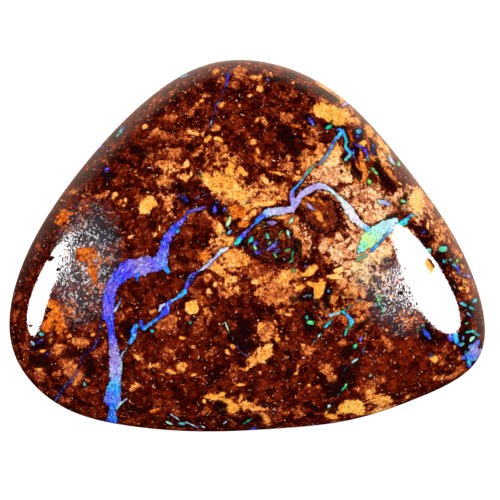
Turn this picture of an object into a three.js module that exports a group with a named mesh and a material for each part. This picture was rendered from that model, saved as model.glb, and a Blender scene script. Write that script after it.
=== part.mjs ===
// A polished boulder opal: one piece of ironstone with opal seams, cut as a free-form cabochon.
// It is a rounded triangle in plan, domed on the face and ground flat on the back.
// Millimetres. +X runs along the longest side, +Z is up through the dome, and the flat back
// rests on z = 0 with the middle of the plan's box over the origin.

import * as THREE from "three";

// The plan's edge at its widest, anticlockwise from the right-hand side, in evenly spaced steps.
const OUTLINE = [
  [13.7, 2.0], [10.6, 6.2], [7.1, 10.0], [2.7, 12.5], [-2.4, 12.8], [-6.9, 10.3],
  [-10.6, 6.6], [-13.7, 2.5], [-16.0, -2.1], [-16.4, -7.2], [-13.2, -11.1], [-8.3, -12.6],
  [-3.1, -13.0], [2.1, -12.8], [7.2, -12.2], [12.1, -10.6], [16.3, -7.7], [16.0, -2.6],
];

const THICKNESS = 6.6; // from the flat back to the crown of the dome
const GIRDLE_HEIGHT = 1.5; // where the stone is widest
const DOME_FULLNESS = 2.15; // 2 is a plain ellipse, and more gives fuller shoulders
const BACK_INSET = 1.0; // how far the flat back's edge lies inside the girdle
const MEAN_RADIUS = 15.0; // of the plan, which turns the inset into a share of the radius

const STEPS_ROUND = 126; // seven to each of the outline's 18 spans
const DOME_RINGS = 16;
const BACK_RINGS = 5;
const RIPPLES = 40; // the highest ripple of the outline that is kept

// Control points of the closed cubic B-spline that passes through the given points.
function splineControls(points) {
  const count = points.length;
  const at = (list, i) => list[(i + count) % count];
  let controls = points.map((p) => [...p]);
  for (let round = 0; round < 60; round++)
    controls = points.map((p, i) =>
      [0, 1].map((axis) => (6 * p[axis] - at(controls, i - 1)[axis] - at(controls, i + 1)[axis]) / 4),
    );
  return controls;
}

// The closed cubic B-spline at `turn`, which runs from 0 to 1 once round.
function splinePoint(controls, turn) {
  const count = controls.length;
  const span = Math.floor(turn * count);
  const u = turn * count - span;
  const weights = [
    (1 - u) ** 3,
    3 * u ** 3 - 6 * u ** 2 + 4,
    -3 * u ** 3 + 3 * u ** 2 + 3 * u + 1,
    u ** 3,
  ];
  return [0, 1].map(
    (axis) => weights.reduce((sum, w, k) => sum + w * controls[(span + k - 1 + count) % count][axis], 0) / 6,
  );
}

// The outline as a sum of circles: ripple k goes k times round while the outline goes round once.
function outlineRipples() {
  const controls = splineControls(OUTLINE);
  const samples = 360;
  const edge = Array.from({ length: samples }, (_, i) => splinePoint(controls, i / samples));
  const middle = [0, 1].map(
    (axis) => (Math.min(...edge.map((p) => p[axis])) + Math.max(...edge.map((p) => p[axis]))) / 2,
  );
  const ripples = [];
  for (let k = -RIPPLES; k <= RIPPLES; k++) {
    let x = 0;
    let y = 0;
    edge.forEach((p, i) => {
      const angle = (-2 * Math.PI * k * i) / samples;
      const [px, py] = [p[0] - middle[0], p[1] - middle[1]];
      x += (px * Math.cos(angle) - py * Math.sin(angle)) / samples;
      y += (px * Math.sin(angle) + py * Math.cos(angle)) / samples;
    });
    ripples.push({ k, x, y });
  }
  return ripples;
}

// A point of the plan. share is 1 at the edge and 0 in the middle. A ripple that goes k times
// round fades as share to the power k, so the rings grow rounder towards the middle.
function planPoint(ripples, share, angle) {
  let px = 0;
  let py = 0;
  for (const { k, x, y } of ripples) {
    const fade = share ** Math.abs(k);
    px += fade * (x * Math.cos(k * angle) - y * Math.sin(k * angle));
    py += fade * (x * Math.sin(k * angle) + y * Math.cos(k * angle));
  }
  return [px, py];
}

// The cross-section as (share of the radius, height), from the middle of the back to the crown.
function crossSection() {
  const profile = [new THREE.Vector2(0, 0)];
  const inset = BACK_INSET / MEAN_RADIUS;
  for (let i = 0; i < BACK_RINGS; i++) {
    const angle = (i / BACK_RINGS) * (Math.PI / 2);
    profile.push(
      new THREE.Vector2(1 - inset * (1 - Math.sin(angle)), GIRDLE_HEIGHT * (1 - Math.cos(angle))),
    );
  }
  for (let i = 0; i < DOME_RINGS; i++) {
    const angle = (i / DOME_RINGS) * (Math.PI / 2);
    const share = Math.cos(angle) ** (2 / DOME_FULLNESS);
    const rise = Math.sin(angle) ** (2 / DOME_FULLNESS);
    profile.push(new THREE.Vector2(share, GIRDLE_HEIGHT + (THICKNESS - GIRDLE_HEIGHT) * rise));
  }
  profile.push(new THREE.Vector2(0, THICKNESS));
  return profile;
}

// The cross-section is turned round as a circular cabochon, then each ring is drawn out to the plan.
function cabochon() {
  const geometry = new THREE.LatheGeometry(crossSection(), STEPS_ROUND);
  geometry.rotateX(Math.PI / 2);
  const ripples = outlineRipples();
  const position = geometry.getAttribute("position");
  for (let i = 0; i < position.count; i++) {
    const [x, y, z] = [position.getX(i), position.getY(i), position.getZ(i)];
    const [px, py] = planPoint(ripples, Math.hypot(x, y), Math.atan2(y, x));
    position.setXYZ(i, px, py, z);
  }
  geometry.computeVertexNormals();
  return geometry;
}

const polishedStone = new THREE.MeshStandardMaterial({
  color: 0x6b3216,
  roughness: 0.15,
  metalness: 0,
});

const stone = new THREE.Mesh(cabochon(), polishedStone);
stone.name = "boulder_opal";

const model = new THREE.Group();
model.add(stone);

export default model;
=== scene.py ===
# %% [markdown]
# # A polished boulder opal
# This lesson dresses one free-form cabochon of ironstone with opal seams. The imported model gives
# its real size and place. The fine surface repeats the same outline and the same dome, and the
# look of the stone comes from fields worked out in millimetres and joined in one node material.

import math

import bpy
import numpy as np
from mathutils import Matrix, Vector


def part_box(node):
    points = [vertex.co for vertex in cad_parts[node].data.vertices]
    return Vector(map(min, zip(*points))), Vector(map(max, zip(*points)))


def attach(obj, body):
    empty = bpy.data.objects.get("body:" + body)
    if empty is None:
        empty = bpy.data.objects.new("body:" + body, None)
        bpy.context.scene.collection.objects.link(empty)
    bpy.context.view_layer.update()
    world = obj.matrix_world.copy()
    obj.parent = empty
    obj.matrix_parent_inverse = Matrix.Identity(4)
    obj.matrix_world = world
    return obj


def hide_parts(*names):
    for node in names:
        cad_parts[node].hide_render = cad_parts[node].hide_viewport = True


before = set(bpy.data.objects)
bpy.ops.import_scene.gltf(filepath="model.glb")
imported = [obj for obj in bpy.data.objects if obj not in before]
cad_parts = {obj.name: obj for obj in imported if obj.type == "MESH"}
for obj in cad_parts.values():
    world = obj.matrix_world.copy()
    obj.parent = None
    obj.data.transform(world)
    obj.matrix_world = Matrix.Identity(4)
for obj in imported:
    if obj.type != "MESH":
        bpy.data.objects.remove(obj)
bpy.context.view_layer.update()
MM = 0.001  # the scene is in metres and the stone is described in millimetres


def put_in_scene(name, data):
    """A new object that shows the data, linked to the scene."""
    made = bpy.data.objects.new(name, data)
    bpy.context.scene.collection.objects.link(made)
    return made


# %% [markdown]
# ## The camera
# A loose stone is photographed lying on its flat back, from straight above. A very long lens is
# used here, because it keeps every point of the dome where the plan has it. The picture is a
# square, and it takes in 35 mm at the height of the girdle, so a pixel is 0.07 mm.

# %% Set up the camera
THICKNESS = 6.6  # mm, from the flat back to the crown of the dome
GIRDLE_HEIGHT = 1.5  # mm, where the stone is widest
PICTURE_WIDTH = 35.0  # mm across the picture
PICTURE_MIDDLE = (0.2, -0.3)  # mm, the point of the plan in the middle of the picture
LENS, SENSOR = 400.0, 36.0  # mm
NEAR_CLIP, FAR_CLIP = 0.01, 5.0  # m

camera = put_in_scene("camera", bpy.data.cameras.new("camera"))
camera.data.lens, camera.data.sensor_width = LENS, SENSOR
camera.data.clip_start, camera.data.clip_end = NEAR_CLIP, FAR_CLIP
camera_height = GIRDLE_HEIGHT + PICTURE_WIDTH * LENS / SENSOR
camera.location = (PICTURE_MIDDLE[0] * MM, PICTURE_MIDDLE[1] * MM, camera_height * MM)
bpy.context.scene.camera = camera
print(f"camera {camera_height:.0f} mm above the floor, looking straight down")

# %% [markdown]
# ## The outline as a sum of circles
# The edge of the stone is a rounded triangle that no formula names, so it is drawn as a smooth
# closed curve through 18 points. Turning that curve into circles of growing frequency makes it
# easy to fill: a circle that goes k times round fades as the k-th power of the share of the
# radius, so rings near the middle grow round by themselves and no ring ever crosses another.

# %% Draw the outline
OUTLINE = [
    (13.7, 2.0), (10.6, 6.2), (7.1, 10.0), (2.7, 12.5), (-2.4, 12.8), (-6.9, 10.3),
    (-10.6, 6.6), (-13.7, 2.5), (-16.0, -2.1), (-16.4, -7.2), (-13.2, -11.1), (-8.3, -12.6),
    (-3.1, -13.0), (2.1, -12.8), (7.2, -12.2), (12.1, -10.6), (16.3, -7.7), (16.0, -2.6),
]
OUTLINE_SAMPLES = 360
RIPPLES = 40  # the highest frequency that is kept


def closed_curve(points, samples):
    """A closed cubic B-spline through the points: its controls c solve (c0 + 4 c1 + c2) / 6 = p."""
    points = np.array(points, float)
    count = len(points)
    shares = np.eye(count) * 4 + np.roll(np.eye(count), 1, 0) + np.roll(np.eye(count), -1, 0)
    controls = np.linalg.solve(shares / 6, points)
    turn = np.arange(samples) / samples * count
    span = np.floor(turn).astype(int)
    u = turn - span
    weights = ((1 - u) ** 3, 3 * u**3 - 6 * u**2 + 4, -3 * u**3 + 3 * u**2 + 3 * u + 1, u**3)
    return sum(w[:, None] / 6 * controls[(span + k - 1) % count] for k, w in enumerate(weights))


outline = closed_curve(OUTLINE, OUTLINE_SAMPLES)
outline -= (outline.min(0) + outline.max(0)) / 2
ripples = np.fft.fft(outline[:, 0] + 1j * outline[:, 1]) / OUTLINE_SAMPLES


def plan_point(share, angle):
    """The plan at a share of the radius: the sum of ripple k times share^|k| times e^(i k angle)."""
    place = np.zeros(np.shape(angle), complex)
    for k in range(-RIPPLES, RIPPLES + 1):
        place += ripples[k] * share ** abs(k) * np.exp(1j * k * angle)
    return place.real, place.imag


print("outline", np.round(np.ptp(outline, axis=0), 2), "mm")

# %% [markdown]
# ## The dome and the back
# A lathe-like mesh would crowd its faces at the crown and starve the rim, so the dome is a
# square sheet of small equal cells laid over the disc instead. Its rows close up towards the
# girdle, where the surface turns steep. Below the girdle the flank goes down in rings to the flat
# back, which ends in a fan of thin triangles. The sheet and the rings share the girdle's points.

# %% Shape the stone
DOME_FULLNESS = 2.15  # 2 is a plain ellipse, and more gives fuller shoulders
BACK_INSET = 1.0  # mm from the girdle in to the flat back's edge
FLANK_LENGTH = 2.0  # mm down the flank, from the girdle to the flat back
MEAN_RADIUS = 15.0  # mm, turns a length in the plan into a share of the radius
CELLS = 280  # of the dome's sheet, along each side: about 0.09 mm each
CLOSING = 0.08  # how much the sheet's rows close up towards the girdle
FLANK_RINGS = 10
FLAT_RINGS = 5


def dome_sheet():
    """Reach r is the larger of |a| and |b| on a square, angle grows evenly along its sides.
    The share is (1 + q) r - q r^((1 + q) / q), whose slope is nought at the girdle."""
    steps = np.linspace(-1, 1, CELLS + 1)
    across, up = np.meshgrid(steps, steps)
    reach = np.maximum(abs(across), abs(up))
    sideways = abs(across) >= abs(up)
    whole = np.where(sideways, across, up)
    part = np.where(sideways, up, across)
    slope = part / np.where(whole == 0, 1, whole)
    angle = np.where(sideways, slope, 2 - slope) * math.pi / 4 + np.where(whole < 0, math.pi, 0)
    share = (1 + CLOSING) * reach - CLOSING * reach ** ((1 + CLOSING) / CLOSING)
    share = np.clip(share, 0, 1)
    rise = (1 - share**DOME_FULLNESS) ** (1 / DOME_FULLNESS)
    return *plan_point(share, angle), GIRDLE_HEIGHT + (THICKNESS - GIRDLE_HEIGHT) * rise, angle


def girdle_loop():
    """Indices of the sheet's rim, anticlockwise from its lower left corner."""
    number = np.arange((CELLS + 1) ** 2).reshape(CELLS + 1, CELLS + 1)
    sides = (number[0, :-1], number[:-1, -1], number[-1, :0:-1], number[:0:-1, 0])
    return np.concatenate(sides)


def back_rings(angles):
    """The flank is a quarter ellipse: inset (1 - sin t) inwards, height (1 - cos t) upwards.
    Inside it the flat rings shrink evenly to the middle."""
    turn = np.linspace(math.pi / 2, 0, FLANK_RINGS + 1)[1:]
    inset = BACK_INSET / MEAN_RADIUS
    shares = np.concatenate([
        1 - inset * (1 - np.sin(turn)),
        (1 - inset) * np.linspace(1, 0, FLAT_RINGS + 2)[1:-1],
    ])
    heights = np.concatenate([GIRDLE_HEIGHT * (1 - np.cos(turn)), np.zeros(FLAT_RINGS)])
    share, angle = np.meshgrid(shares, angles, indexing="ij")
    return *plan_point(share, angle), np.broadcast_to(heights[:, None], share.shape)


def join_rings(upper, lower):
    """Quads between two closed loops of points, facing outwards when the second lies lower."""
    return np.stack([upper, lower, np.roll(lower, -1), np.roll(upper, -1)], axis=1)


*sheet, sheet_angle = dome_sheet()
rim = girdle_loop()
rings = back_rings(sheet_angle.ravel()[rim])
x, y, z = (np.concatenate([a.ravel(), b.ravel(), [0.0]]) for a, b in zip(sheet, rings))

# The finer edge bulges past the CAD facets by a hair, so it is drawn in to their box.
low, high = (np.array(corner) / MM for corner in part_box("boulder_opal"))
for axis, row in enumerate((x, y)):
    fit = min(1, (high - low)[axis] / np.ptp(row))
    row += (high + low)[axis] / 2 - (row.max() + row.min()) / 2 * fit - row * (1 - fit)

corner = np.arange(CELLS * (CELLS + 1)).reshape(CELLS, CELLS + 1)[:, :-1].ravel()
sheet_quads = np.stack([corner, corner + 1, corner + CELLS + 2, corner + CELLS + 1], axis=1)
loops = [rim] + list(sheet_angle.size + np.arange(rings[0].size).reshape(rings[0].shape))
ring_quads = [join_rings(a, b) for a, b in zip(loops, loops[1:])]
inner = loops[-1]
fan = np.stack([inner, np.full(len(inner), len(x) - 1), np.roll(inner, -1)], axis=1)

mesh = bpy.data.meshes.new("opal_stone")
quads = np.concatenate([sheet_quads, *ring_quads])
mesh.from_pydata(np.stack([x, y, z], axis=1) * MM, [], quads.tolist() + fan.tolist())
mesh.polygons.foreach_set("use_smooth", [True] * len(mesh.polygons))
mesh.update()
stone = put_in_scene("opal_stone", mesh)
polished = len(sheet_quads) + FLANK_RINGS * len(rim)  # faces, the dome's first and then the flank's
print(len(quads) * 2 + len(fan), "triangles,", np.round([np.ptp(x), np.ptp(y), np.ptp(z)], 2), "mm")

# %% [markdown]
# ## Fields
# The stone's markings are placed in millimetres, as a maker would describe them: seams
# as lines with a width, patches as ovals. Each kind becomes one field on the points of the mesh,
# the depth in mm inside the nearest marking, which is negative outside it. The material later
# adds fine noise to that depth, and so every edge is ragged at a scale finer than the mesh.
#
# Markings are placed on the plan, where the dome's points keep their x and y. The flank is steep,
# so it is rolled out beyond the girdle instead, and no marking is drawn out down the side.

# %% Noise and depth helpers
TABLE_SIDE = 64
FAR_OUTSIDE = -9.0  # mm, the depth where no marking is near
STREAK_GAP = 9.0  # mm, so that no two markings share their streaks

rolled_out = np.minimum(np.arange(1, FLANK_RINGS + FLAT_RINGS + 1) / FLANK_RINGS, 1) * FLANK_LENGTH
rolled_out = 1 + rolled_out / MEAN_RADIUS
plan_x, plan_y = (
    np.concatenate([row[:sheet_angle.size], np.outer(rolled_out, row[rim]).ravel(), [0.0]])
    for row in (x, y)
)


def drift(x, y, size, seed):
    """Smooth noise from -1 to 1: random heights on a square lattice, `size` mm apart. Between
    them it goes by the smooth step 3 f^2 - 2 f^3."""
    heights = np.random.default_rng(seed).uniform(-1, 1, (TABLE_SIDE, TABLE_SIDE))
    u, v = x / size + TABLE_SIDE, y / size + TABLE_SIDE
    i, j = np.floor(u).astype(int), np.floor(v).astype(int)
    fu, fv = u - i, v - j
    fu, fv = fu * fu * (3 - 2 * fu), fv * fv * (3 - 2 * fv)
    left, right, down, up = (n % TABLE_SIDE for n in (i, i + 1, j, j + 1))
    below = heights[left, down] * (1 - fu) + heights[right, down] * fu
    above = heights[left, up] * (1 - fu) + heights[right, up] * fu
    return below * (1 - fv) + above * fv


def wander(x, y, amount, size, seed):
    """Moves the points by two noises, one coarse and one half as coarse, so lines and ovals waver."""
    dx = drift(x, y, size, seed) + drift(x, y, size / 2, seed + 1) / 2
    dy = drift(x, y, size, seed + 2) + drift(x, y, size / 2, seed + 3) / 2
    return x + amount * dx, y + amount * dy


def fill_in(rows):
    """A row that leaves out its last values keeps those of the row before."""
    full = []
    for row in rows:
        full.append((*row, *(full[-1][len(row):] if full else ())))
    return full


def no_markings(x, start):
    """The fields where no marking is near: the depth, the start values and three noughts."""
    values = np.array([*start, 0, 0, 0], float)
    return np.full(x.shape, FAR_OUTSIDE), np.tile(values[:, None], x.shape)


def line_field(x, y, lines, start):
    """Depth inside the widest line at each point, and the line's further values there: its own,
    half its width, the place along it and the place across it. A line's points are
    (x, y, width, values...). Depth is half the width less the distance."""
    depth, values = no_markings(x, start)
    passed = 0.0
    for points in map(fill_in, lines):
        passed += STREAK_GAP
        for a, b in zip(points, points[1:]):
            a, b = np.array(a, float), np.array(b, float)
            way = b[:2] - a[:2]
            length = math.hypot(*way)
            t = np.clip(((x - a[0]) * way[0] + (y - a[1]) * way[1]) / length**2, 0, 1)
            off_x, off_y = x - a[0] - t * way[0], y - a[1] - t * way[1]
            half = (a[2] + t * (b[2] - a[2])) / 2
            found = half - np.hypot(off_x, off_y)
            nearer = found > depth
            depth = np.where(nearer, found, depth)
            mixed = a[3:, None] + t * (b[3:] - a[3:])[:, None]
            across = (way[0] * off_y - way[1] * off_x) / length
            values = np.where(nearer, [*mixed, half, passed + t * length, across], values)
            passed += length
    return depth, values


def turned(x, y, cx, cy, turn):
    """Places along and across an oval, measured from its middle."""
    c, s = math.cos(math.radians(turn)), math.sin(math.radians(turn))
    return (x - cx) * c + (y - cy) * s, (y - cy) * c - (x - cx) * s


def oval_field(x, y, ovals, start=()):
    """The same for ovals (x, y, half length, half width, turn in degrees, values...).
    Depth is the half width times 1 less the oval's own radius at the point."""
    depth, values = no_markings(x, start)
    for number, (cx, cy, length, width, turn, *own) in enumerate(fill_in(ovals)):
        along, across = turned(x, y, cx, cy, turn)
        found = width * (1 - np.hypot(along / length, across / width))
        nearer = found > depth
        depth = np.where(nearer, found, depth)
        flat = np.broadcast_to(np.array([*own, width], float)[:, None], (len(own) + 1, *x.shape))
        values = np.where(nearer, [*flat, along + STREAK_GAP * number, across], values)
    return depth, values


def deeper(first, second):
    """Joins two (depth, values) fields: the deeper one wins at each point."""
    nearer = second[0] > first[0]
    return np.where(nearer, second[0], first[0]), np.where(nearer, second[1], first[1])


print("the plan with its flank rolled out:", np.round([np.ptp(plan_x), np.ptp(plan_y)], 1), "mm")

# %% [markdown]
# ## Opal seams and flecks
# Precious opal filled the cracks of the ironstone. Where its silica spheres are small it shows
# violet and blue, and larger ones turn it to green. Each seam is a line whose points say how
# wide it is, what colour it plays, and how milky it is. Flecks are short ovals of the same. A
# point or a fleck that names no colour or milkiness keeps those of the one before it.

# %% Place the opal
NAVY, INDIGO, VIOLET, MARINE, BLUE, SKY = 0.0, 0.09, 0.18, 0.30, 0.42, 0.54
CYAN, TEAL, GREEN, BRIGHT, LIME = 0.64, 0.74, 0.84, 0.92, 1.0
CLEAR, HAZY, MILKY, WHITE, CHALKY = 0.0, 0.35, 0.7, 1.0, 1.5

# Each point is (x, y, width, play of colour, milkiness), in mm. A width of nought or less breaks
# the seam there.
SEAMS = [
    [  # the broad violet seam, from its thin head in the middle down to the lower edge
        (-2.9, 2.62, 0.1, VIOLET, HAZY), (-3.4, 2.55, 0.18), (-3.8, 2.45, 0.22),
        (-4.15, 2.35, 0.16, MARINE, CLEAR), (-4.3, 2.05, 0.14), (-4.5, 1.75, 0.28, VIOLET, HAZY),
        (-4.8, 1.4, 0.34, MARINE, CLEAR), (-5.1, 1.1, 0.42, BLUE), (-5.4, 0.7, 0.5, VIOLET, HAZY),
        (-5.7, 0.2, 0.6, MARINE, CLEAR), (-5.8, -0.4, 0.8, MARINE, HAZY), (-6.0, -1.2, 0.9, BLUE),
        (-6.6, -1.35, 1.0, VIOLET), (-7.3, -1.4, 1.15, VIOLET, MILKY), (-7.9, -1.45, 1.25, VIOLET, HAZY),
        (-8.5, -1.75, 1.15, MARINE, CLEAR), (-9.0, -2.3, 0.95), (-9.4, -3.0, 0.85, VIOLET, HAZY),
        (-9.6, -3.7, 0.8, MARINE, CLEAR), (-9.65, -4.4, 0.82, VIOLET, HAZY),
        (-9.6, -5.0, 0.75, MARINE, CLEAR), (-9.45, -5.7, 0.5), (-9.38, -6.2, 0.42),
        (-9.35, -6.7, 0.6, VIOLET, HAZY), (-9.3, -7.2, 0.7, INDIGO, MILKY), (-9.15, -8.0, 0.72),
        (-9.1, -8.8, 0.78, BLUE), (-9.15, -9.4, 0.82, SKY, HAZY), (-9.25, -10.0, 1.05, SKY, CLEAR),
        (-9.4, -10.6, 1.15, BLUE, HAZY), (-9.4, -11.0, 0.7, BLUE, CLEAR), (-9.33, -11.35, 0.38, SKY),
        (-9.33, -11.75, 0.6, BLUE), (-9.4, -12.2, 0.8), (-9.7, -13.4, 0.6, VIOLET, HAZY),
        (-10.3, -14.6, 0.2, INDIGO, CLEAR),
    ],
    [(-7.5, -1.8, 0.5, BLUE, CLEAR), (-7.65, -2.5, 0.08)],
    [(-5.8, -1.3, 0.35, BLUE, CLEAR), (-5.5, -1.75, 0.3, SKY)],
    [(-9.2, -4.5, 0.2, SKY, WHITE), (-8.85, -4.1, 0.14, SKY, HAZY), (-8.65, -3.55, 0.08, SKY, MILKY)],
    [(-8.8, -7.9, 0.16, SKY, MILKY), (-8.7, -7.5, 0.14), (-8.35, -7.05, 0.07)],
    [(-8.75, -8.9, 0.14, CYAN, HAZY), (-8.7, -8.3, 0.16, CYAN, WHITE), (-8.8, -7.8, 0.1, SKY, MILKY)],
    [(-9.1, -11.3, 0.2, CYAN, HAZY), (-8.8, -10.95, 0.14, CYAN, WHITE), (-8.4, -10.65, 0.08, SKY, MILKY)],
    [(-3.65, 3.15, 0.08, VIOLET, MILKY), (-3.3, 3.35, 0.1), (-2.7, 3.62, 0.06)],
    [  # the long thin seam, from the upper right down to the left
        (6.25, 8.0, 0.14, BLUE, CLEAR), (6.5, 8.15, 0.16, SKY), (6.55, 7.85, 0.24, CYAN),
        (6.3, 7.45, 0.22, CYAN, HAZY), (6.0, 7.15, 0.17, SKY, CLEAR), (5.85, 6.75, 0.16),
        (5.6, 6.3, 0.14, CYAN), (5.35, 5.9, 0.13), (5.1, 5.7, 0.12, SKY, HAZY),
        (4.85, 5.65, 0.08, CYAN, MILKY), (4.6, 5.55, 0.13, GREEN, CLEAR), (4.3, 5.2, 0.15, TEAL),
        (4.0, 4.8, 0.15, TEAL, HAZY), (3.75, 4.5, 0.17, CYAN, CLEAR), (3.45, 4.1, 0.16, SKY),
        (3.15, 3.8, 0.26, BLUE, HAZY), (3.15, 3.35, 0.4, VIOLET, MILKY), (3.3, 2.95, 0.42, MARINE),
        (3.1, 2.55, 0.42, VIOLET, WHITE), (2.5, 2.4, 0.5, MARINE), (1.9, 2.4, 0.5, BLUE),
        (1.35, 2.3, 0.45, SKY, MILKY), (1.0, 2.0, 0.3, BLUE, CLEAR), (0.7, 1.7, 0.3, SKY),
        (0.35, 1.4, 0.14, BLUE, HAZY), (0.0, 1.05, 0.18, INDIGO), (-0.3, 0.7, 0.34, MARINE, CLEAR),
        (-0.55, 0.4, 0.32, CYAN), (-0.8, 0.15, 0.22, TEAL), (-1.0, 0.05, 0.02, NAVY),
        (-1.3, -0.15, 0.16, SKY, CHALKY), (-1.8, -0.4, 0.3, SKY, WHITE), (-2.2, -0.85, 0.2, BLUE, MILKY),
        (-2.6, -1.25, 0.25, MARINE), (-3.1, -1.6, 0.14, SKY, WHITE), (-3.5, -1.8, 0.12, BLUE, HAZY),
        (-3.8, -2.1, 0.32, INDIGO, CLEAR), (-4.0, -2.5, 0.36, NAVY), (-4.15, -2.85, 0.26, MARINE),
        (-4.3, -3.15, 0.3, CYAN), (-4.75, -3.5, 0.26, SKY), (-5.2, -3.8, 0.22, SKY, HAZY),
        (-5.55, -4.05, 0.4, MARINE, CLEAR), (-5.65, -4.5, 0.5), (-5.9, -4.8, 0.3), (-6.4, -5.1, 0.26, SKY),
        (-6.8, -5.5, 0.22, BLUE), (-7.15, -5.85, 0.2, SKY),
    ],
    [(-5.55, -4.0, 0.14, SKY, WHITE), (-5.95, -4.15, 0.22), (-6.1, -4.5, 0.1)],
    [(-7.35, -5.2, 0.2, MARINE, CLEAR), (-7.2, -5.8, 0.24, BLUE)],
    [(-7.65, -5.5, 0.3, SKY, CLEAR), (-7.85, -5.9, 0.5, BLUE), (-7.9, -6.35, 0.36, SKY), (-8.15, -6.7, 0.2)],
    [(6.65, 8.0, 0.2, SKY, CLEAR), (6.85, 7.3, 0.2, CYAN), (6.85, 6.8, 0.22), (7.1, 6.55, 0.26, SKY, HAZY),
     (7.15, 6.25, 0.22, CYAN), (6.85, 6.0, 0.24, TEAL)],
    [  # the pale seam, which leaves the long one and runs to the right
        (3.45, 3.05, 0.35, MARINE, MILKY), (3.75, 3.5, 0.4, VIOLET, WHITE), (4.1, 3.8, 0.45, MARINE),
        (4.55, 4.05, 0.5, VIOLET), (5.0, 4.15, 0.42, MARINE), (5.45, 4.1, 0.34, BLUE),
        (5.85, 3.85, 0.26, CYAN), (6.25, 3.5, 0.22, SKY), (6.6, 3.1, 0.35, CYAN, CHALKY),
        (7.0, 2.5, 0.6, SKY), (7.4, 2.0, 0.65, VIOLET), (7.9, 1.5, 0.4, SKY), (8.3, 1.2, 0.45, CYAN, HAZY),
        (8.7, 0.8, 0.7, CYAN, WHITE),
    ],
    [(7.75, -0.5, 0.2, TEAL, HAZY), (8.0, -0.1, 0.6, GREEN, MILKY), (8.45, 0.4, 1.15, LIME),
     (8.95, 0.95, 1.05, TEAL, WHITE), (9.5, 1.4, 0.7, CYAN), (10.3, 1.7, 0.4)],
    [(8.2, -0.7, 0.14, TEAL, HAZY), (7.6, -1.05, 0.16, BRIGHT)],
    [(9.2, 3.15, 0.2, CYAN, WHITE), (9.6, 3.0, 0.35, BLUE, MILKY), (9.85, 2.9, 0.2)],
    [  # the thin purple seam at the top
        (-0.8, 12.6, 0.04, VIOLET, CLEAR), (-1.25, 12.2, 0.06), (-1.35, 11.8, 0.18), (-1.45, 11.2, 0.14),
        (-1.6, 10.8, 0.04, INDIGO), (-1.8, 10.2, 0.05), (-2.15, 9.7, 0.1, VIOLET),
        (-2.35, 9.0, 0.05, INDIGO, HAZY), (-2.5, 8.5, 0.07, INDIGO, MILKY),
        (-2.8, 8.0, 0.04, INDIGO, CLEAR),
    ],
    [  # the dark blue seam at the lower left
        (-10.1, -5.3, 0.1, NAVY, CLEAR), (-10.3, -6.4, 0.1), (-10.6, -6.95, 0.12, SKY, HAZY),
        (-10.8, -7.2, 0.1, NAVY, CLEAR), (-11.4, -7.7, 0.12), (-11.6, -8.2, 0.1),
        (-11.8, -8.8, 0.06, INDIGO), (-12.1, -9.2, 0.12), (-12.3, -9.5, 0.2, NAVY), (-12.7, -9.9, 0.1),
        (-13.1, -10.4, 0.2), (-13.3, -10.8, 0.24),
    ],
    [(7.75, -3.75, 0.07, GREEN, HAZY), (7.4, -4.0, -0.02), (7.1, -4.25, 0.1, TEAL),
     (6.85, -4.4, 0.0, TEAL, CLEAR), (6.6, -4.55, 0.22), (6.2, -4.75, 0.2, SKY, WHITE),
     (5.75, -4.85, 0.24, SKY, MILKY)],
    [(6.6, -4.6, 0.2, CYAN, CLEAR), (6.95, -4.9, 0.24, SKY), (7.2, -5.2, 0.35, CYAN, HAZY),
     (7.15, -5.5, 0.25, TEAL, CLEAR), (6.85, -5.75, 0.14, GREEN), (6.75, -6.15, 0.14, TEAL)],
    [(5.8, -5.25, 0.16, TEAL, CLEAR), (5.4, -5.6, 0.16)],
    [(5.15, -6.0, 0.08, TEAL, CLEAR), (4.95, -6.2, 0.1, CYAN, WHITE), (4.8, -6.4, -0.02, TEAL, CLEAR),
     (4.6, -6.6, 0.14)],
    [(8.05, -7.1, 0.07, NAVY, HAZY), (8.0, -7.6, 0.05, TEAL, MILKY)],
    [(7.6, -7.85, 0.16, TEAL, MILKY), (7.35, -8.05, 0.2, TEAL, WHITE), (7.0, -8.25, 0.0, NAVY, HAZY),
     (6.75, -8.6, 0.04, GREEN, CLEAR), (6.65, -9.1, 0.04)],
    [(6.85, -9.65, 0.16, BRIGHT, CLEAR), (6.6, -9.95, 0.16, GREEN), (6.45, -10.15, -0.04),
     (6.3, -10.3, 0.1), (6.15, -10.6, -0.06, TEAL, HAZY), (6.0, -10.8, 0.06),
     (5.85, -11.0, -0.02, TEAL, WHITE), (5.75, -11.1, 0.24)],
    [(9.35, -3.45, 0.18, LIME, CLEAR), (9.15, -3.8, 0.24), (9.25, -4.1, 0.14, BRIGHT), (9.42, -4.4, 0.2),
     (9.38, -4.9, 0.1, GREEN, MILKY)],
    [(-1.55, -5.3, 0.1, GREEN, WHITE), (-1.35, -5.8, 0.1), (-1.25, -6.1, -0.04), (-1.05, -6.4, 0.06),
     (-0.8, -6.8, -0.06, VIOLET), (-0.6, -7.1, 0.1), (-0.35, -7.4, 0.04), (0.0, -7.75, 0.04)],
    [(7.35, 7.1, 0.14, INDIGO, CLEAR), (7.7, 6.9, 0.16, VIOLET), (8.15, 6.7, 0.2),
     (8.4, 6.35, 0.18, MARINE), (8.45, 5.9, 0.16, GREEN, HAZY)],
    [(8.7, 5.35, 0.16, BRIGHT, CLEAR), (9.0, 5.0, 0.2)],
    [(7.4, 6.6, 0.1, MARINE, CLEAR), (7.5, 5.9, 0.16, NAVY)],
    [(8.75, 7.0, 0.3, NAVY, CLEAR), (8.85, 6.4, 0.16)],
    [(14.35, -1.3, 0.16, TEAL, CLEAR), (14.6, -1.6, 0.2, MARINE), (14.75, -1.95, 0.16, BLUE, HAZY)],
    [(15.0, -2.0, 0.12, VIOLET, MILKY), (15.6, -2.15, 0.16)],
    [(14.95, -4.05, 0.24, CYAN, HAZY), (15.25, -4.2, 0.2, TEAL, CLEAR)],
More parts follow.
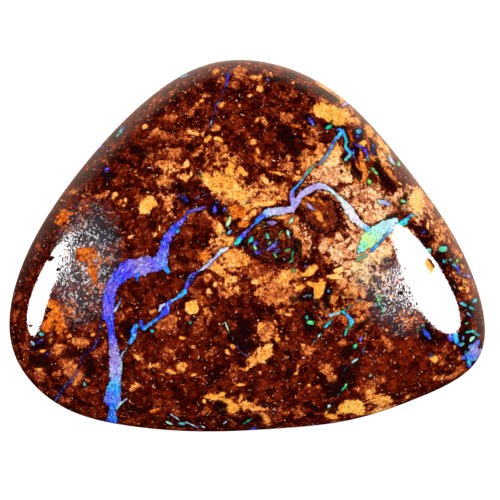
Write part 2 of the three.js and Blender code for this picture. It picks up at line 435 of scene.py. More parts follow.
    [(15.35, -4.75, 0.12, CYAN, WHITE), (15.65, -5.0, 0.16, MARINE, CLEAR)],
    [(15.25, -6.05, 0.14, TEAL, CLEAR), (15.7, -5.95, 0.2, TEAL, HAZY), (16.2, -6.25, 0.14, TEAL, CLEAR)],
    [(14.5, -6.2, 0.35, CYAN, CLEAR), (14.55, -6.6, 0.3), (14.8, -7.05, 0.12, VIOLET)],
    [(16.1, -6.7, 0.35, MARINE, HAZY), (15.9, -7.2, 0.6, BLUE, MILKY), (15.6, -7.7, 0.5, BLUE, HAZY),
     (15.5, -8.1, 0.3, CYAN, CLEAR), (15.6, -8.4, 0.24, VIOLET)],
    [(15.25, -7.4, 0.14, TEAL, CLEAR), (15.5, -8.0, 0.2, CYAN)],
    [(16.15, -7.4, 0.5, VIOLET, MILKY), (16.0, -7.9, 0.35, SKY, HAZY)],
]

# A clear blue crack runs over the pale opal at the right, between walls of dark rock.
CRACK_WALL = 0.04  # mm
SEAMS_ON_TOP = [
    [(8.5, -0.45, 0.1, SKY, CLEAR), (8.75, -0.25, 0.28), (9.15, 0.2, 0.18), (9.5, 0.6, 0.16, SKY, HAZY),
     (9.9, 1.05, 0.2, CYAN), (10.4, 1.45, 0.3), (10.9, 1.6, 0.5, TEAL, CLEAR), (11.05, 1.8, 0.3),
     (11.35, 2.15, 0.2, SKY), (11.7, 2.05, 0.12, TEAL)],
]

# Each fleck is (x, y, half length, half width, turn, play of colour, milkiness).
FLECKS = [
    (-6.6, -5.9, 0.13, 0.12, 0, TEAL, CLEAR), (-4.85, 1.0, 0.2, 0.12, 30, CYAN),
    (-2.25, 2.5, 0.28, 0.14, -60, MARINE), (-2.1, 2.9, 0.15, 0.1, -60, INDIGO),
    (-1.55, 2.5, 0.16, 0.1, 50, MARINE, HAZY), (-4.25, 3.25, 0.28, 0.18, -70, NAVY, CLEAR),
    (-4.7, 3.45, 0.1, 0.08, 0, VIOLET), (-1.2, 1.0, 0.26, 0.11, 40, CYAN, HAZY),
    (-1.25, 1.65, 0.3, 0.09, 65, BRIGHT, MILKY), (5.65, 8.3, 0.22, 0.15, 30, GREEN, CLEAR),
    (4.45, 8.6, 0.35, 0.16, -45, INDIGO), (7.75, 7.95, 0.2, 0.14, 10, CYAN),
    (7.65, 7.6, 0.14, 0.12, 0, VIOLET), (8.5, 4.45, 0.22, 0.13, 95, LIME), (8.5, 5.1, 0.1, 0.07, 90),
    (10.6, 5.7, 0.22, 0.15, 80, BRIGHT, HAZY), (10.85, 3.1, 0.2, 0.09, -20),
    (7.35, 6.4, 0.1, 0.07, 0, BRIGHT, CLEAR), (12.3, 0.95, 0.16, 0.13, 0, INDIGO),
    (12.6, -0.35, 0.24, 0.15, 20, TEAL, HAZY), (13.65, -0.25, 0.28, 0.2, 0),
    (13.7, -1.1, 0.15, 0.14, 0, TEAL, CLEAR), (14.15, -1.0, 0.12, 0.1, 0, TEAL, HAZY),
    (14.6, -1.05, 0.18, 0.09, 60, LIME, CLEAR), (15.9, -3.85, 0.24, 0.14, 30, TEAL),
    (15.65, -4.4, 0.3, 0.12, -20), (15.25, -5.4, 0.14, 0.08, 10, GREEN),
    (15.7, -6.5, 0.24, 0.13, 60, GREEN, WHITE), (14.1, -6.4, 0.28, 0.18, 85, VIOLET, CLEAR),
    (15.05, -6.45, 0.2, 0.1, 70, BLUE, HAZY), (15.0, -6.85, 0.14, 0.12, 0, GREEN, CLEAR),
    (15.6, -7.05, 0.22, 0.13, 30, CYAN, HAZY), (15.15, -7.85, 0.2, 0.15, 0, VIOLET, CLEAR),
    (12.45, -6.15, 0.35, 0.16, -50, BLUE), (12.2, -5.5, 0.14, 0.1, 20, TEAL, MILKY),
    (11.85, -5.85, 0.1, 0.09, 0, GREEN, CLEAR), (12.25, -5.85, 0.2, 0.1, -50, INDIGO),
    (7.85, -6.5, 0.17, 0.15, 30, MARINE, HAZY), (7.5, -6.95, 0.18, 0.14, 60, GREEN, CLEAR),
    (8.2, -6.1, 0.14, 0.07, 50), (8.55, -8.98, 0.16, 0.08, 30, GREEN, MILKY),
    (12.8, -7.6, 0.12, 0.1, 0, INDIGO, CLEAR), (4.4, -5.3, 0.32, 0.14, -5, BRIGHT),
    (4.1, -5.0, 0.16, 0.08, -60, TEAL), (4.0, -3.55, 0.2, 0.09, 10, VIOLET, WHITE),
    (4.35, -3.5, 0.14, 0.08, 60, TEAL, HAZY), (4.7, -4.35, 0.14, 0.07, -10, GREEN, MILKY),
    (5.6, -3.15, 0.13, 0.09, -20, TEAL, HAZY), (4.35, 2.7, 0.26, 0.11, -50, VIOLET, WHITE),
    (4.6, 2.5, 0.12, 0.08, -50, VIOLET, HAZY), (1.4, 0.65, 0.24, 0.12, -70, BRIGHT),
    (0.55, -0.1, 0.24, 0.1, -75), (1.95, -0.65, 0.24, 0.08, -60), (2.05, -0.35, 0.2, 0.12, 10, NAVY),
    (2.85, 0.8, 0.34, 0.09, -70, TEAL, WHITE), (1.25, 1.35, 0.2, 0.07, 0, TEAL, HAZY),
    (2.35, 0.9, 0.3, 0.07, 60, LIME), (0.6, 0.25, 0.17, 0.15, 0, VIOLET, CLEAR),
    (0.7, -0.5, 0.26, 0.12, 10), (1.05, -0.2, 0.2, 0.06, 45, INDIGO),
    (1.75, 1.6, 0.3, 0.14, 10, INDIGO, MILKY), (2.75, -0.3, 0.24, 0.07, 15, BRIGHT, CLEAR),
    (3.15, -0.6, 0.4, 0.07, 80, GREEN), (3.0, -1.05, 0.2, 0.07, 30, BRIGHT), (3.2, -1.7, 0.14, 0.1, 60),
    (4.05, -1.4, 0.12, 0.08, 0, VIOLET), (3.05, 1.75, 0.26, 0.08, 55, BRIGHT, WHITE),
    (2.0, 0.3, 0.3, 0.06, 75, GREEN, CLEAR), (0.2, 0.4, 0.3, 0.12, 60, TEAL),
    (1.55, 0.2, 0.2, 0.06, 50, GREEN, HAZY), (-4.45, 11.9, 0.28, 0.11, 30, CYAN),
    (-8.85, 7.95, 0.16, 0.12, 40, TEAL), (-8.65, 8.2, 0.2, 0.1, 50, BLUE),
    (-9.05, 7.7, 0.2, 0.07, 50, TEAL, CLEAR), (-10.7, 6.6, 0.16, 0.08, 45, SKY),
    (-10.1, 6.9, 0.16, 0.12, 50, INDIGO), (-10.5, 6.35, 0.14, 0.09, 50), (-9.8, 5.3, 0.18, 0.16, 0, MARINE),
    (-9.6, 0.65, 0.14, 0.12, 0, INDIGO), (-14.25, -6.15, 0.22, 0.13, -10, TEAL, HAZY),
    (-14.95, -6.8, 0.2, 0.12, -40, CYAN, MILKY), (-13.9, -7.55, 0.12, 0.11, 0, INDIGO, CLEAR),
    (-14.4, -6.65, 0.4, 0.1, 20, NAVY), (-11.3, -9.7, 0.15, 0.1, -60, TEAL, HAZY),
    (-1.5, 11.9, 0.1, 0.08, 0, INDIGO, CLEAR), (1.5, 11.5, 0.12, 0.1, 0, VIOLET, HAZY),
    (-3.6, 12.0, 0.12, 0.12, 0, NAVY, CLEAR), (0.4, -12.85, 0.36, 0.14, 0, MARINE),
    (0.0, -12.2, 0.4, 0.07, 35, GREEN), (-5.0, -12.0, 0.3, 0.05, -35, SKY, WHITE),
    (-5.4, -12.35, 0.3, 0.07, -20, TEAL), (-4.6, -12.4, 0.3, 0.1, -10, TEAL, HAZY),
    (-3.9, -12.45, 0.4, 0.05, -20, SKY, WHITE), (-3.1, -12.65, 0.25, 0.05, -35),
    (-1.55, -12.35, 0.2, 0.05, 40), (-3.9, -5.3, 0.14, 0.09, 60, GREEN, CLEAR),
    (1.8, 0.0, 0.5, 0.14, 35, VIOLET, HAZY), (6.9, 9.95, 0.3, 0.1, 40, VIOLET, WHITE),
    (10.05, 5.95, 0.34, 0.15, -55, SKY),
]

seam_x, seam_y = wander(plan_x, plan_y, 0.06, 0.7, seed=11)
depth, values = deeper(
    line_field(seam_x, seam_y, SEAMS, (NAVY, CLEAR)),
    oval_field(seam_x, seam_y, FLECKS, (NAVY, CLEAR)),
)
top_depth, top_values = line_field(seam_x, seam_y, SEAMS_ON_TOP, (NAVY, CLEAR))
on_top = top_depth > -CRACK_WALL
opal_depth = np.where(on_top, top_depth, depth)
opal_play, opal_milk, opal_half, opal_along, opal_across = np.where(on_top, top_values, values)
print(len(SEAMS), "seams and", len(FLECKS), "flecks:", int((opal_depth > 0).sum()), "points in opal")

# %% [markdown]
# ## Tan, orange and yellow patches
# Softer, less iron-rich rock sits between the dark grains. An oval gives each large
# patch, and wide faint zones say where small scraps of the same rock crowd together. These are
# two fields, which the material joins, so that scraps thicken into patches without a border.
# Embers are the most saturated rock. They glow orange among the dark grains at the upper right,
# by the nuts and beside the left window. In the leached zones all the rock is paler and pinker.

# %% Place the pale rock
EMBER, RUST, TAN, AMBER, APRICOT, YELLOW, CREAM = -0.5, 0.0, 0.28, 0.55, 0.68, 0.8, 1.0

# Each patch is (x, y, half length, half width, turn, tone), in mm, and a patch that names no tone
# has that of the one before it.
PALE_PATCHES = [
    # the upper right, along the edge
    (8.1, 3.15, 0.6, 0.3, -18, RUST), (15.7, -2.8, 0.9, 0.2, -72), (12.75, 3.05, 0.9, 0.22, -60, TAN),
    (13.0, 2.2, 0.6, 0.28, -50), (10.3, 3.4, 0.5, 0.32, 40), (8.9, 3.9, 0.45, 0.12, -35),
    (8.9, 3.3, 0.3, 0.2, 30), (14.15, 0.6, 0.35, 0.25, -60), (13.1, -0.2, 0.35, 0.24, -30),
    (14.5, -0.6, 0.5, 0.18, -60), (14.9, -2.4, 0.35, 0.2, -60), (11.2, 0.9, 0.6, 0.14, -55),
    (6.9, 8.9, 0.5, 0.3, -35, AMBER), (7.5, 8.75, 0.45, 0.16, -35), (9.2, 6.6, 0.55, 0.14, -52),
    (9.45, 6.0, 0.5, 0.12, -50), (10.8, 2.75, 0.45, 0.14, -40), (11.7, 1.6, 0.3, 0.12, -50),
    (8.35, 8.05, 0.55, 0.32, -55, YELLOW), (8.4, 6.1, 0.14, 0.1, 0), (11.85, 3.2, 1.05, 0.6, 82),
    (12.6, 1.25, 0.22, 0.15, -60), (14.75, -0.85, 0.2, 0.16, 0), (12.65, -1.4, 0.6, 0.26, -75),
    (5.9, 9.2, 1.25, 0.7, -22, CREAM), (5.5, 11.0, 0.7, 0.28, -25), (6.4, 10.4, 0.75, 0.28, -38),
    (7.95, 7.25, 0.36, 0.26, 10), (9.55, 7.1, 0.8, 0.24, -52), (9.9, 6.5, 0.6, 0.16, -55),
    (10.65, 4.35, 0.2, 0.1, -40), (15.2, -2.6, 0.14, 0.1, 0), (14.8, -3.2, 0.2, 0.14, 0),
    # between the thin seam and the pale seam
    (5.1, 6.75, 0.4, 0.32, 40, TAN), (4.4, 7.3, 0.35, 0.25, 0), (4.75, 8.0, 0.35, 0.14, 40),
    (5.4, 4.95, 1.0, 0.62, -10), (3.9, 6.25, 0.32, 0.25, 40), (7.1, 1.6, 0.9, 0.2, -60),
    (9.7, 1.75, 0.3, 0.3, 0), (8.5, 1.9, 0.4, 0.25, 0), (5.95, 6.3, 0.9, 0.5, 65, AMBER),
    (6.6, 4.8, 0.5, 0.4, -40), (4.9, 5.25, 0.3, 0.2, 40), (3.4, 4.65, 0.3, 0.25, 0),
    (6.1, 3.3, 0.6, 0.25, -35), (3.9, 8.4, 0.14, 0.1, 60, CREAM), (9.0, 0.9, 0.4, 0.2, 30),
    # the middle, above the violet head and left of the nut
    (-0.9, 0.35, 0.3, 0.15, 30, RUST), (0.4, -1.6, 1.3, 0.5, -38), (0.4, 3.2, 0.5, 0.35, 0, TAN),
    (2.4, 3.8, 0.45, 0.4, 30), (-2.4, 1.7, 0.8, 0.14, -55), (1.6, -2.5, 0.8, 0.25, -35),
    (1.9, -3.3, 1.0, 0.6, 5), (2.9, -3.6, 0.6, 0.4, -30), (5.4, -4.4, 0.7, 0.2, -65),
    (6.6, -2.7, 0.6, 0.4, -20), (7.5, -3.2, 0.8, 0.5, 10), (7.6, -4.15, 0.7, 0.3, 0),
    (7.0, -1.3, 0.8, 0.25, 30), (6.4, -0.4, 0.6, 0.4, -40), (5.3, 0.0, 0.5, 0.25, 60),
    (3.5, 0.9, 0.9, 0.3, -60), (3.85, -0.1, 0.6, 0.25, -75), (3.4, 1.9, 0.4, 0.3, 0),
    (7.4, 0.6, 0.7, 0.25, -50), (6.2, 0.6, 0.5, 0.25, -50), (1.2, 5.7, 0.3, 0.2, 0),
    (2.9, 5.5, 0.4, 0.3, 20), (-2.9, 5.0, 0.4, 0.14, -30, AMBER), (1.35, 4.5, 0.45, 0.22, -60),
    (1.2, 2.9, 0.5, 0.2, 0), (0.3, 2.2, 0.8, 0.22, 30), (0.1, 5.0, 0.12, 0.1, 0),
    (-1.8, 0.8, 0.9, 0.3, -58), (-1.3, 0.2, 0.5, 0.35, -20), (-0.6, -0.7, 1.1, 0.55, -35),
    (-2.2, -1.6, 0.7, 0.4, -25), (-1.3, -2.1, 0.8, 0.28, -25), (2.7, -2.25, 0.55, 0.5, 40),
    (3.3, -2.0, 0.5, 0.3, -20), (1.0, -2.5, 0.5, 0.3, -10), (6.0, -3.8, 0.4, 0.26, 30),
    (8.9, -2.9, 0.6, 0.2, -65), (8.4, -0.95, 0.9, 0.55, -10), (9.5, -0.6, 0.7, 0.3, 0),
    (7.8, -1.8, 0.8, 0.5, -50), (2.7, 2.0, 0.6, 0.14, 10), (0.9, 1.35, 0.5, 0.12, 25),
    (0.35, 7.2, 0.35, 0.2, -40), (0.75, 6.45, 0.35, 0.14, -55), (-1.35, 4.25, 1.2, 0.66, -35, APRICOT),
    (-0.6, 3.5, 1.3, 0.55, -36), (-2.5, 4.5, 0.85, 0.42, -48), (-1.05, 5.2, 0.42, 0.3, 40, YELLOW),
    (-0.2, 5.1, 0.4, 0.24, -30), (2.2, 4.95, 0.55, 0.12, -18), (1.3, 3.05, 0.9, 0.26, 5),
    (4.2, -1.85, 0.48, 0.26, 15), (3.7, -2.9, 0.36, 0.18, 25), (4.95, -3.0, 0.6, 0.36, -70),
    (4.5, -2.7, 0.4, 0.16, -10), (6.0, -2.35, 0.7, 0.24, -10), (6.3, -1.75, 0.45, 0.3, 0),
    (6.05, -4.45, 0.34, 0.2, 15), (8.4, -3.9, 0.2, 0.16, 0), (9.6, -2.0, 0.32, 0.24, 0),
    (9.95, -3.65, 0.22, 0.16, 30),
    # embers, the most saturated rock, among the dark grains at the upper right and by the nuts
    (8.1, 5.3, 0.6, 0.2, -80, EMBER), (8.1, 4.6, 0.4, 0.2, 60), (7.0, 5.5, 0.6, 0.18, -65),
    (7.3, 4.7, 0.35, 0.14, -60), (7.95, 6.3, 0.35, 0.14, -60), (8.9, 4.8, 0.4, 0.1, -55),
    (9.9, 5.0, 0.7, 0.12, -52), (9.5, 5.6, 0.5, 0.1, -52), (7.2, 7.7, 0.35, 0.12, -70),
    (8.4, 7.2, 0.4, 0.12, -60), (9.0, 6.1, 0.5, 0.12, -52), (8.9, 7.4, 0.5, 0.14, -52),
    (7.6, 5.7, 0.4, 0.12, -70), (4.45, 3.3, 0.4, 0.1, -20), (4.9, 2.1, 0.6, 0.16, -60),
    (4.3, 2.9, 0.4, 0.1, -45), (5.1, 3.1, 0.3, 0.1, -60), (2.35, 0.62, 0.3, 0.2, 30),
    (2.75, -0.42, 0.32, 0.22, 0), (0.9, 1.3, 0.45, 0.11, 25), (-0.7, 2.3, 0.9, 0.45, 25),
    (-0.2, 1.7, 0.5, 0.2, 40), (-1.1, 1.75, 0.35, 0.18, 50), (-0.6, 0.45, 0.3, 0.14, 20),
    (5.55, -0.95, 0.16, 0.14, 0), (5.6, 0.3, 0.12, 0.2, 0), (6.0, -3.8, 0.36, 0.2, 30),
    (6.9, -5.0, 0.3, 0.4, 0), (3.4, 8.2, 0.3, 0.06, -30), (0.4, 6.1, 0.24, 0.06, -40),
    (-2.9, -0.8, 0.4, 0.25, 0), (11.6, 1.7, 0.3, 0.12, -50), (-2.9, -3.65, 0.26, 0.14, -20),
    (5.0, -9.8, 0.14, 0.1, 0), (2.7, -11.5, 0.2, 0.12, 0), (-6.5, -11.5, 0.3, 0.14, 0),
    (9.2, -9.5, 0.2, 0.14, 0),
    # the top
    (-1.35, 11.3, 0.55, 0.22, -25, RUST), (3.4, 10.4, 0.3, 0.2, 0), (-4.6, 12.3, 0.6, 0.25, 20),
    (-0.4, 12.0, 0.5, 0.42, 30, TAN), (-3.05, 10.35, 0.24, 0.16, 10), (-3.9, 9.2, 0.24, 0.14, -20),
    (-5.3, 8.85, 0.34, 0.16, 20), (2.8, 8.8, 0.28, 0.24, 0), (-2.1, 12.2, 0.26, 0.16, -30, AMBER),
    (0.65, 11.55, 0.38, 0.16, 0), (1.0, 10.95, 0.27, 0.22, 0), (0.15, 10.3, 0.18, 0.14, 0),
    (-1.8, 9.83, 0.2, 0.18, 0), (-3.5, 9.65, 0.2, 0.13, 0), (-2.0, 8.2, 0.26, 0.2, -30),
    (0.6, 8.7, 0.16, 0.2, 0), (1.05, 8.6, 0.22, 0.14, -40), (3.4, 11.35, 0.17, 0.14, 0),
    (-3.25, 9.95, 0.16, 0.11, 0, CREAM), (-7.1, 8.2, 0.22, 0.16, 20), (-2.3, 8.0, 0.12, 0.1, 0),
    (-0.4, 9.6, 0.14, 0.1, 0),
    # the left, above the violet seam
    (-12.9, 1.85, 0.5, 0.42, -70, EMBER), (-11.1, -0.5, 0.8, 0.42, 0), (-10.7, -1.7, 0.9, 0.34, -78),
    (-4.4, 7.6, 0.5, 0.36, 0, RUST), (-5.65, 7.5, 0.45, 0.24, 10), (-11.4, 3.0, 0.5, 0.2, 25),
    (-12.6, 1.1, 0.3, 0.22, 0), (-11.35, 1.45, 0.2, 0.13, -10), (-14.5, -0.25, 0.2, 0.12, -40),
    (-6.3, 7.7, 0.4, 0.3, 0, TAN), (-3.4, 6.6, 0.5, 0.24, 40), (-1.7, 6.7, 0.4, 0.26, -70),
    (-6.0, 5.75, 0.6, 0.38, 10), (-5.8, 4.5, 0.55, 0.3, -10), (-5.2, 6.5, 0.4, 0.2, 20),
    (-5.4, 2.85, 0.5, 0.38, 60), (-5.1, 1.95, 0.3, 0.2, -60), (-10.0, 3.4, 0.6, 0.2, 10),
    (-12.4, 3.8, 0.2, 0.12, 30), (-10.8, -0.9, 0.75, 0.6, 0), (-9.6, -1.1, 0.35, 0.2, -25),
    (-3.7, 7.9, 0.3, 0.16, -30, AMBER), (-4.3, 5.8, 0.35, 0.24, 20), (-4.3, 4.95, 0.4, 0.32, 0),
    (-1.5, 6.0, 0.26, 0.16, 60), (-9.3, 3.4, 0.24, 0.16, 50), (-2.65, 7.3, 0.34, 0.32, 60, YELLOW),
    (-6.85, 2.75, 0.7, 0.6, 50), (-2.0, 7.28, 0.22, 0.13, 40, CREAM), (-3.7, 5.2, 0.14, 0.2, 0),
    (-7.7, 5.1, 0.14, 0.1, 0), (-8.5, 2.75, 0.14, 0.1, 0), (-8.4, 3.2, 0.1, 0.14, 0),
    (-12.9, 3.15, 0.14, 0.1, 0), (-6.55, 0.6, 0.16, 0.12, -20), (-6.3, 1.0, 0.05, 0.2, 0),
    (-8.1, 0.45, 0.14, 0.12, 0),
    # the lower left
    (-13.35, -4.3, 0.6, 0.34, -70, EMBER), (-13.0, -5.3, 0.65, 0.3, -70), (-13.8, -5.5, 0.55, 0.28, 30),
    (-13.3, -4.9, 0.55, 0.4, 0), (-10.1, -7.35, 0.5, 0.3, 10, RUST), (-12.6, -8.1, 0.4, 0.25, 30),
    (-14.4, -9.2, 0.55, 0.42, 0), (-15.3, -6.9, 0.3, 0.24, 30), (-16.0, -4.7, 0.35, 0.25, 60),
    (-6.25, -10.9, 0.3, 0.2, 20), (-5.3, -10.95, 0.24, 0.14, 0), (-12.5, -10.65, 0.22, 0.18, 0),
    (-13.2, -10.5, 0.4, 0.25, -30), (-9.75, -8.4, 0.12, 0.25, 0), (-11.0, -9.4, 0.2, 0.12, 0),
    (-5.5, -5.4, 0.75, 0.4, 12), (-11.5, -6.7, 0.5, 0.45, 0, TAN), (-13.2, -7.25, 0.5, 0.38, 20),
    (-12.0, -8.8, 0.7, 0.5, -30), (-13.1, -9.0, 0.3, 0.2, 0), (-5.35, -7.1, 0.18, 0.14, 0),
    (-8.0, -10.0, 0.12, 0.18, 0), (-10.7, -9.0, 0.1, 0.2, 20), (-2.7, -4.85, 0.5, 0.16, -75),
    (-3.9, -6.9, 0.14, 0.12, 0), (-1.55, -3.3, 0.42, 0.3, 0), (-2.9, -2.3, 0.2, 0.2, 0),
    (-12.3, -6.2, 0.2, 0.16, 20, AMBER), (-13.8, -6.6, 0.24, 0.16, 60), (-7.65, -7.75, 0.2, 0.18, 0),
    (-7.75, -9.55, 0.2, 0.17, 0), (-6.4, -8.3, 0.4, 0.15, 0), (-4.7, -8.2, 0.36, 0.36, 40),
    (-5.2, -8.65, 0.5, 0.12, 0), (-5.85, -9.0, 0.3, 0.1, -20), (-6.6, -4.55, 0.28, 0.16, 20),
    (-2.5, -3.2, 0.2, 0.2, 0), (-2.1, -2.65, 0.3, 0.2, 0), (-5.0, -11.5, 0.2, 0.06, 50, YELLOW),
    (-3.75, -4.4, 0.7, 0.38, -52), (-4.4, -6.2, 0.16, 0.14, 0), (-10.7, -6.0, 0.14, 0.2, 0, CREAM),
    (-10.05, -5.65, 0.16, 0.1, 30), (-14.55, -8.5, 0.17, 0.14, 0), (-14.3, -7.45, 0.18, 0.1, 20),
    (-3.85, -9.0, 0.2, 0.12, 15), (-7.75, -4.2, 0.08, 0.06, 0), (-3.75, -4.4, 0.62, 0.32, -52),
    (-1.3, -2.9, 0.16, 0.1, 40),
    # the lower middle and the bottom edge
    (2.6, -6.85, 0.14, 0.1, 0, RUST), (5.0, -8.3, 0.14, 0.3, 0), (7.1, -9.45, 0.24, 0.17, -20),
    (6.9, -9.0, 0.16, 0.12, 0), (1.5, -10.55, 0.32, 0.18, -15), (2.2, -11.4, 0.25, 0.2, 60),
    (3.6, -11.5, 0.35, 0.3, 0), (8.9, -9.5, 0.4, 0.2, 20), (8.2, -9.9, 0.6, 0.35, 20),
    (-2.75, -11.35, 0.4, 0.16, 30), (-0.9, -12.55, 0.2, 0.14, 0), (13.4, -8.0, 0.5, 0.2, -28),
    (15.0, -8.6, 0.4, 0.3, 0), (1.35, -5.9, 0.75, 0.66, 60, TAN), (4.1, -7.2, 0.55, 0.28, -40),
    (0.8, -8.75, 0.13, 0.14, 0), (2.65, -8.55, 0.16, 0.1, -50), (3.6, -8.5, 0.2, 0.08, 80),
    (5.5, -8.8, 0.6, 0.28, -40), (6.7, -6.75, 0.32, 0.26, 0), (9.6, -6.75, 0.5, 0.2, -30),
    (9.95, -7.3, 0.2, 0.12, 0), (13.4, -9.3, 0.4, 0.25, 30), (14.4, -8.9, 0.5, 0.15, 30),
    (1.1, -5.5, 0.4, 0.4, 0, AMBER), (1.0, -7.35, 0.85, 0.45, 52), (0.4, -7.9, 0.4, 0.25, 50),
    (-0.4, -8.45, 0.18, 0.12, 30), (-0.95, -7.1, 0.34, 0.17, -30), (-1.4, -7.5, 0.26, 0.16, -50),
    (2.7, -6.3, 0.14, 0.12, 0), (2.7, -7.7, 0.24, 0.1, -60), (-0.5, -10.7, 0.3, 0.12, 60),
    (0.1, -11.2, 0.9, 0.26, -8), (1.05, -11.35, 0.45, 0.12, -10), (1.1, -12.0, 0.6, 0.22, -58),
    (8.6, -10.4, 0.3, 0.4, 0), (9.3, -10.7, 0.7, 0.38, -10), (9.2, -11.4, 1.0, 0.2, 12),
    (11.2, -10.7, 0.22, 0.13, 20), (14.45, -7.2, 0.1, 0.24, 0), (14.7, -7.95, 0.16, 0.14, 0),
    (2.0, -6.45, 0.22, 0.18, -30, YELLOW), (-0.05, -8.3, 0.3, 0.1, 85), (-2.35, -10.55, 0.55, 0.2, -10),
    (-1.5, -10.75, 0.5, 0.16, -25), (-1.7, -10.4, 0.3, 0.14, 20), (-0.95, -11.3, 0.5, 0.4, 0),
    (5.5, -11.5, 0.5, 0.16, 75), (6.0, -12.0, 0.6, 0.2, -10), (6.5, -11.4, 0.45, 0.3, 80),
    (-0.3, -9.65, 0.28, 0.12, -15, CREAM), (3.45, -8.9, 0.15, 0.12, 0), (4.2, -9.7, 0.14, 0.12, 0),
    (-2.9, -10.85, 0.12, 0.16, 0), (7.3, -11.3, 0.95, 0.6, 10), (6.9, -11.4, 0.3, 0.4, 0),
    (12.9, -7.95, 0.22, 0.22, 0), (9.7, -6.05, 0.12, 0.1, 0),
]

# Each zone is (x, y, half length, half width, turn, crowding), and crowding is a depth in mm.
BARE = -0.7  # mm, the crowding where there is no zone
ZONE_STEEPNESS = 1.6
SCRAP_ZONES = [
    (5.2, 5.3, 2.3, 1.8, 20, 0.86), (-1.4, 4.0, 2.1, 1.6, -35, 0.86), (1.4, 3.6, 2.3, 1.1, 0, 0.82),
    (8.4, 3.0, 2.7, 1.6, -25, 0.8), (11.7, 2.9, 1.5, 1.7, 20, 0.84), (8.6, 0.1, 2.4, 2.0, 0, 0.9),
    (7.9, -2.4, 2.5, 1.7, 0, 0.82), (3.5, 0.9, 0.9, 2.0, 20, 0.84), (6.5, -0.4, 1.6, 1.5, 0, 0.8),
    (-1.3, -0.6, 2.4, 1.2, -38, 0.82), (-1.2, -2.7, 1.8, 1.0, -30, 0.64), (2.3, -2.8, 2.1, 1.2, -15, 0.8),
    (7.5, -4.8, 2.0, 1.1, 0, 0.68), (11.2, -4.9, 1.8, 1.2, -20, 0.64), (13.4, -4.6, 1.0, 1.4, 0, 0.64),
    (15.0, -2.6, 0.9, 2.0, 20, 0.66), (13.7, 1.0, 1.1, 1.8, 30, 0.76), (7.0, 7.6, 1.1, 1.1, -40, 0.62),
    (6.4, 9.4, 2.2, 1.0, -35, 0.76), (9.4, 6.4, 1.6, 0.8, -52, 0.76), (4.4, 7.6, 1.0, 0.9, 0, 0.6),
    (-5.6, 5.7, 2.6, 1.5, 0, 0.58), (-5.4, 3.3, 1.9, 1.2, 0, 0.58), (-1.8, 6.0, 2.0, 1.2, -20, 0.66),
    (1.0, 6.0, 1.6, 0.8, 0, 0.52), (-4.0, 7.7, 2.4, 0.8, 10, 0.56), (-5.4, 1.4, 1.2, 1.0, 0, 0.48),
    (-11.6, 3.0, 1.8, 1.4, 30, 0.56), (-12.3, -4.6, 1.2, 1.6, 0, 0.58), (-10.6, -2.6, 1.2, 1.8, 0, 0.56),
    (5.0, -4.8, 0.9, 1.2, 0, 0.56), (2.6, -4.6, 1.4, 0.7, 0, 0.58), (0.8, -6.6, 1.3, 1.9, 0, 0.48),
    (-12.2, -8.4, 1.4, 1.4, 0, 0.42), (3.0, 5.6, 1.4, 1.2, 0, 0.52), (9.0, -10.9, 2.6, 0.8, 0, 0.56),
    (-1.0, -11.2, 2.4, 0.8, -10, 0.5), (-0.2, 12.0, 3.6, 0.9, 0, 0.56), (-5.6, 10.4, 2.6, 0.7, 40, 0.5),
    (-3.2, -4.0, 1.4, 0.8, 0, 0.46), (13.4, -8.4, 1.6, 0.8, 20, 0.44), (-8.6, -6.8, 1.4, 1.0, 0, 0.4),
]

# Each zone is (x, y, half length, half width, turn, share of the leaching).
LEACHED = [
    (8.2, 1.6, 6.4, 5.4, -50, 1.0), (-5.4, 0.5, 8.5, 5.0, 80, 0.35), (0.4, 3.0, 3.0, 3.6, 0, 0.4),
]
ZONE_FADE = 1.8  # mm from a zone's border to its full share


def zone_share(zones):
    """The largest share of any zone at each point."""
    total = np.zeros(plan_x.shape)
    for *oval, share in zones:
        zone_depth, _ = oval_field(plan_x, plan_y, [oval])
        total = np.maximum(total, share * np.clip(zone_depth / ZONE_FADE, 0, 1))
    return total


pale_x, pale_y = wander(plan_x, plan_y, 0.24, 1.2, seed=31)
pale_depth, (pale_tone, pale_half, *_) = oval_field(pale_x, pale_y, PALE_PATCHES, (TAN,))
crowding = np.full(x.shape, BARE)
for cx, cy, length, width, turn, amount in SCRAP_ZONES:
    along, across = turned(pale_x, pale_y, cx, cy, turn)
    swell = np.exp(-((along / length) ** 2 + (across / width) ** 2) ** ZONE_STEEPNESS)
    crowding = np.maximum(crowding, BARE + amount * swell)
leached = zone_share(LEACHED)
print(len(PALE_PATCHES), "pale patches:", f"{(pale_depth > 0).mean():.0%} of the points")
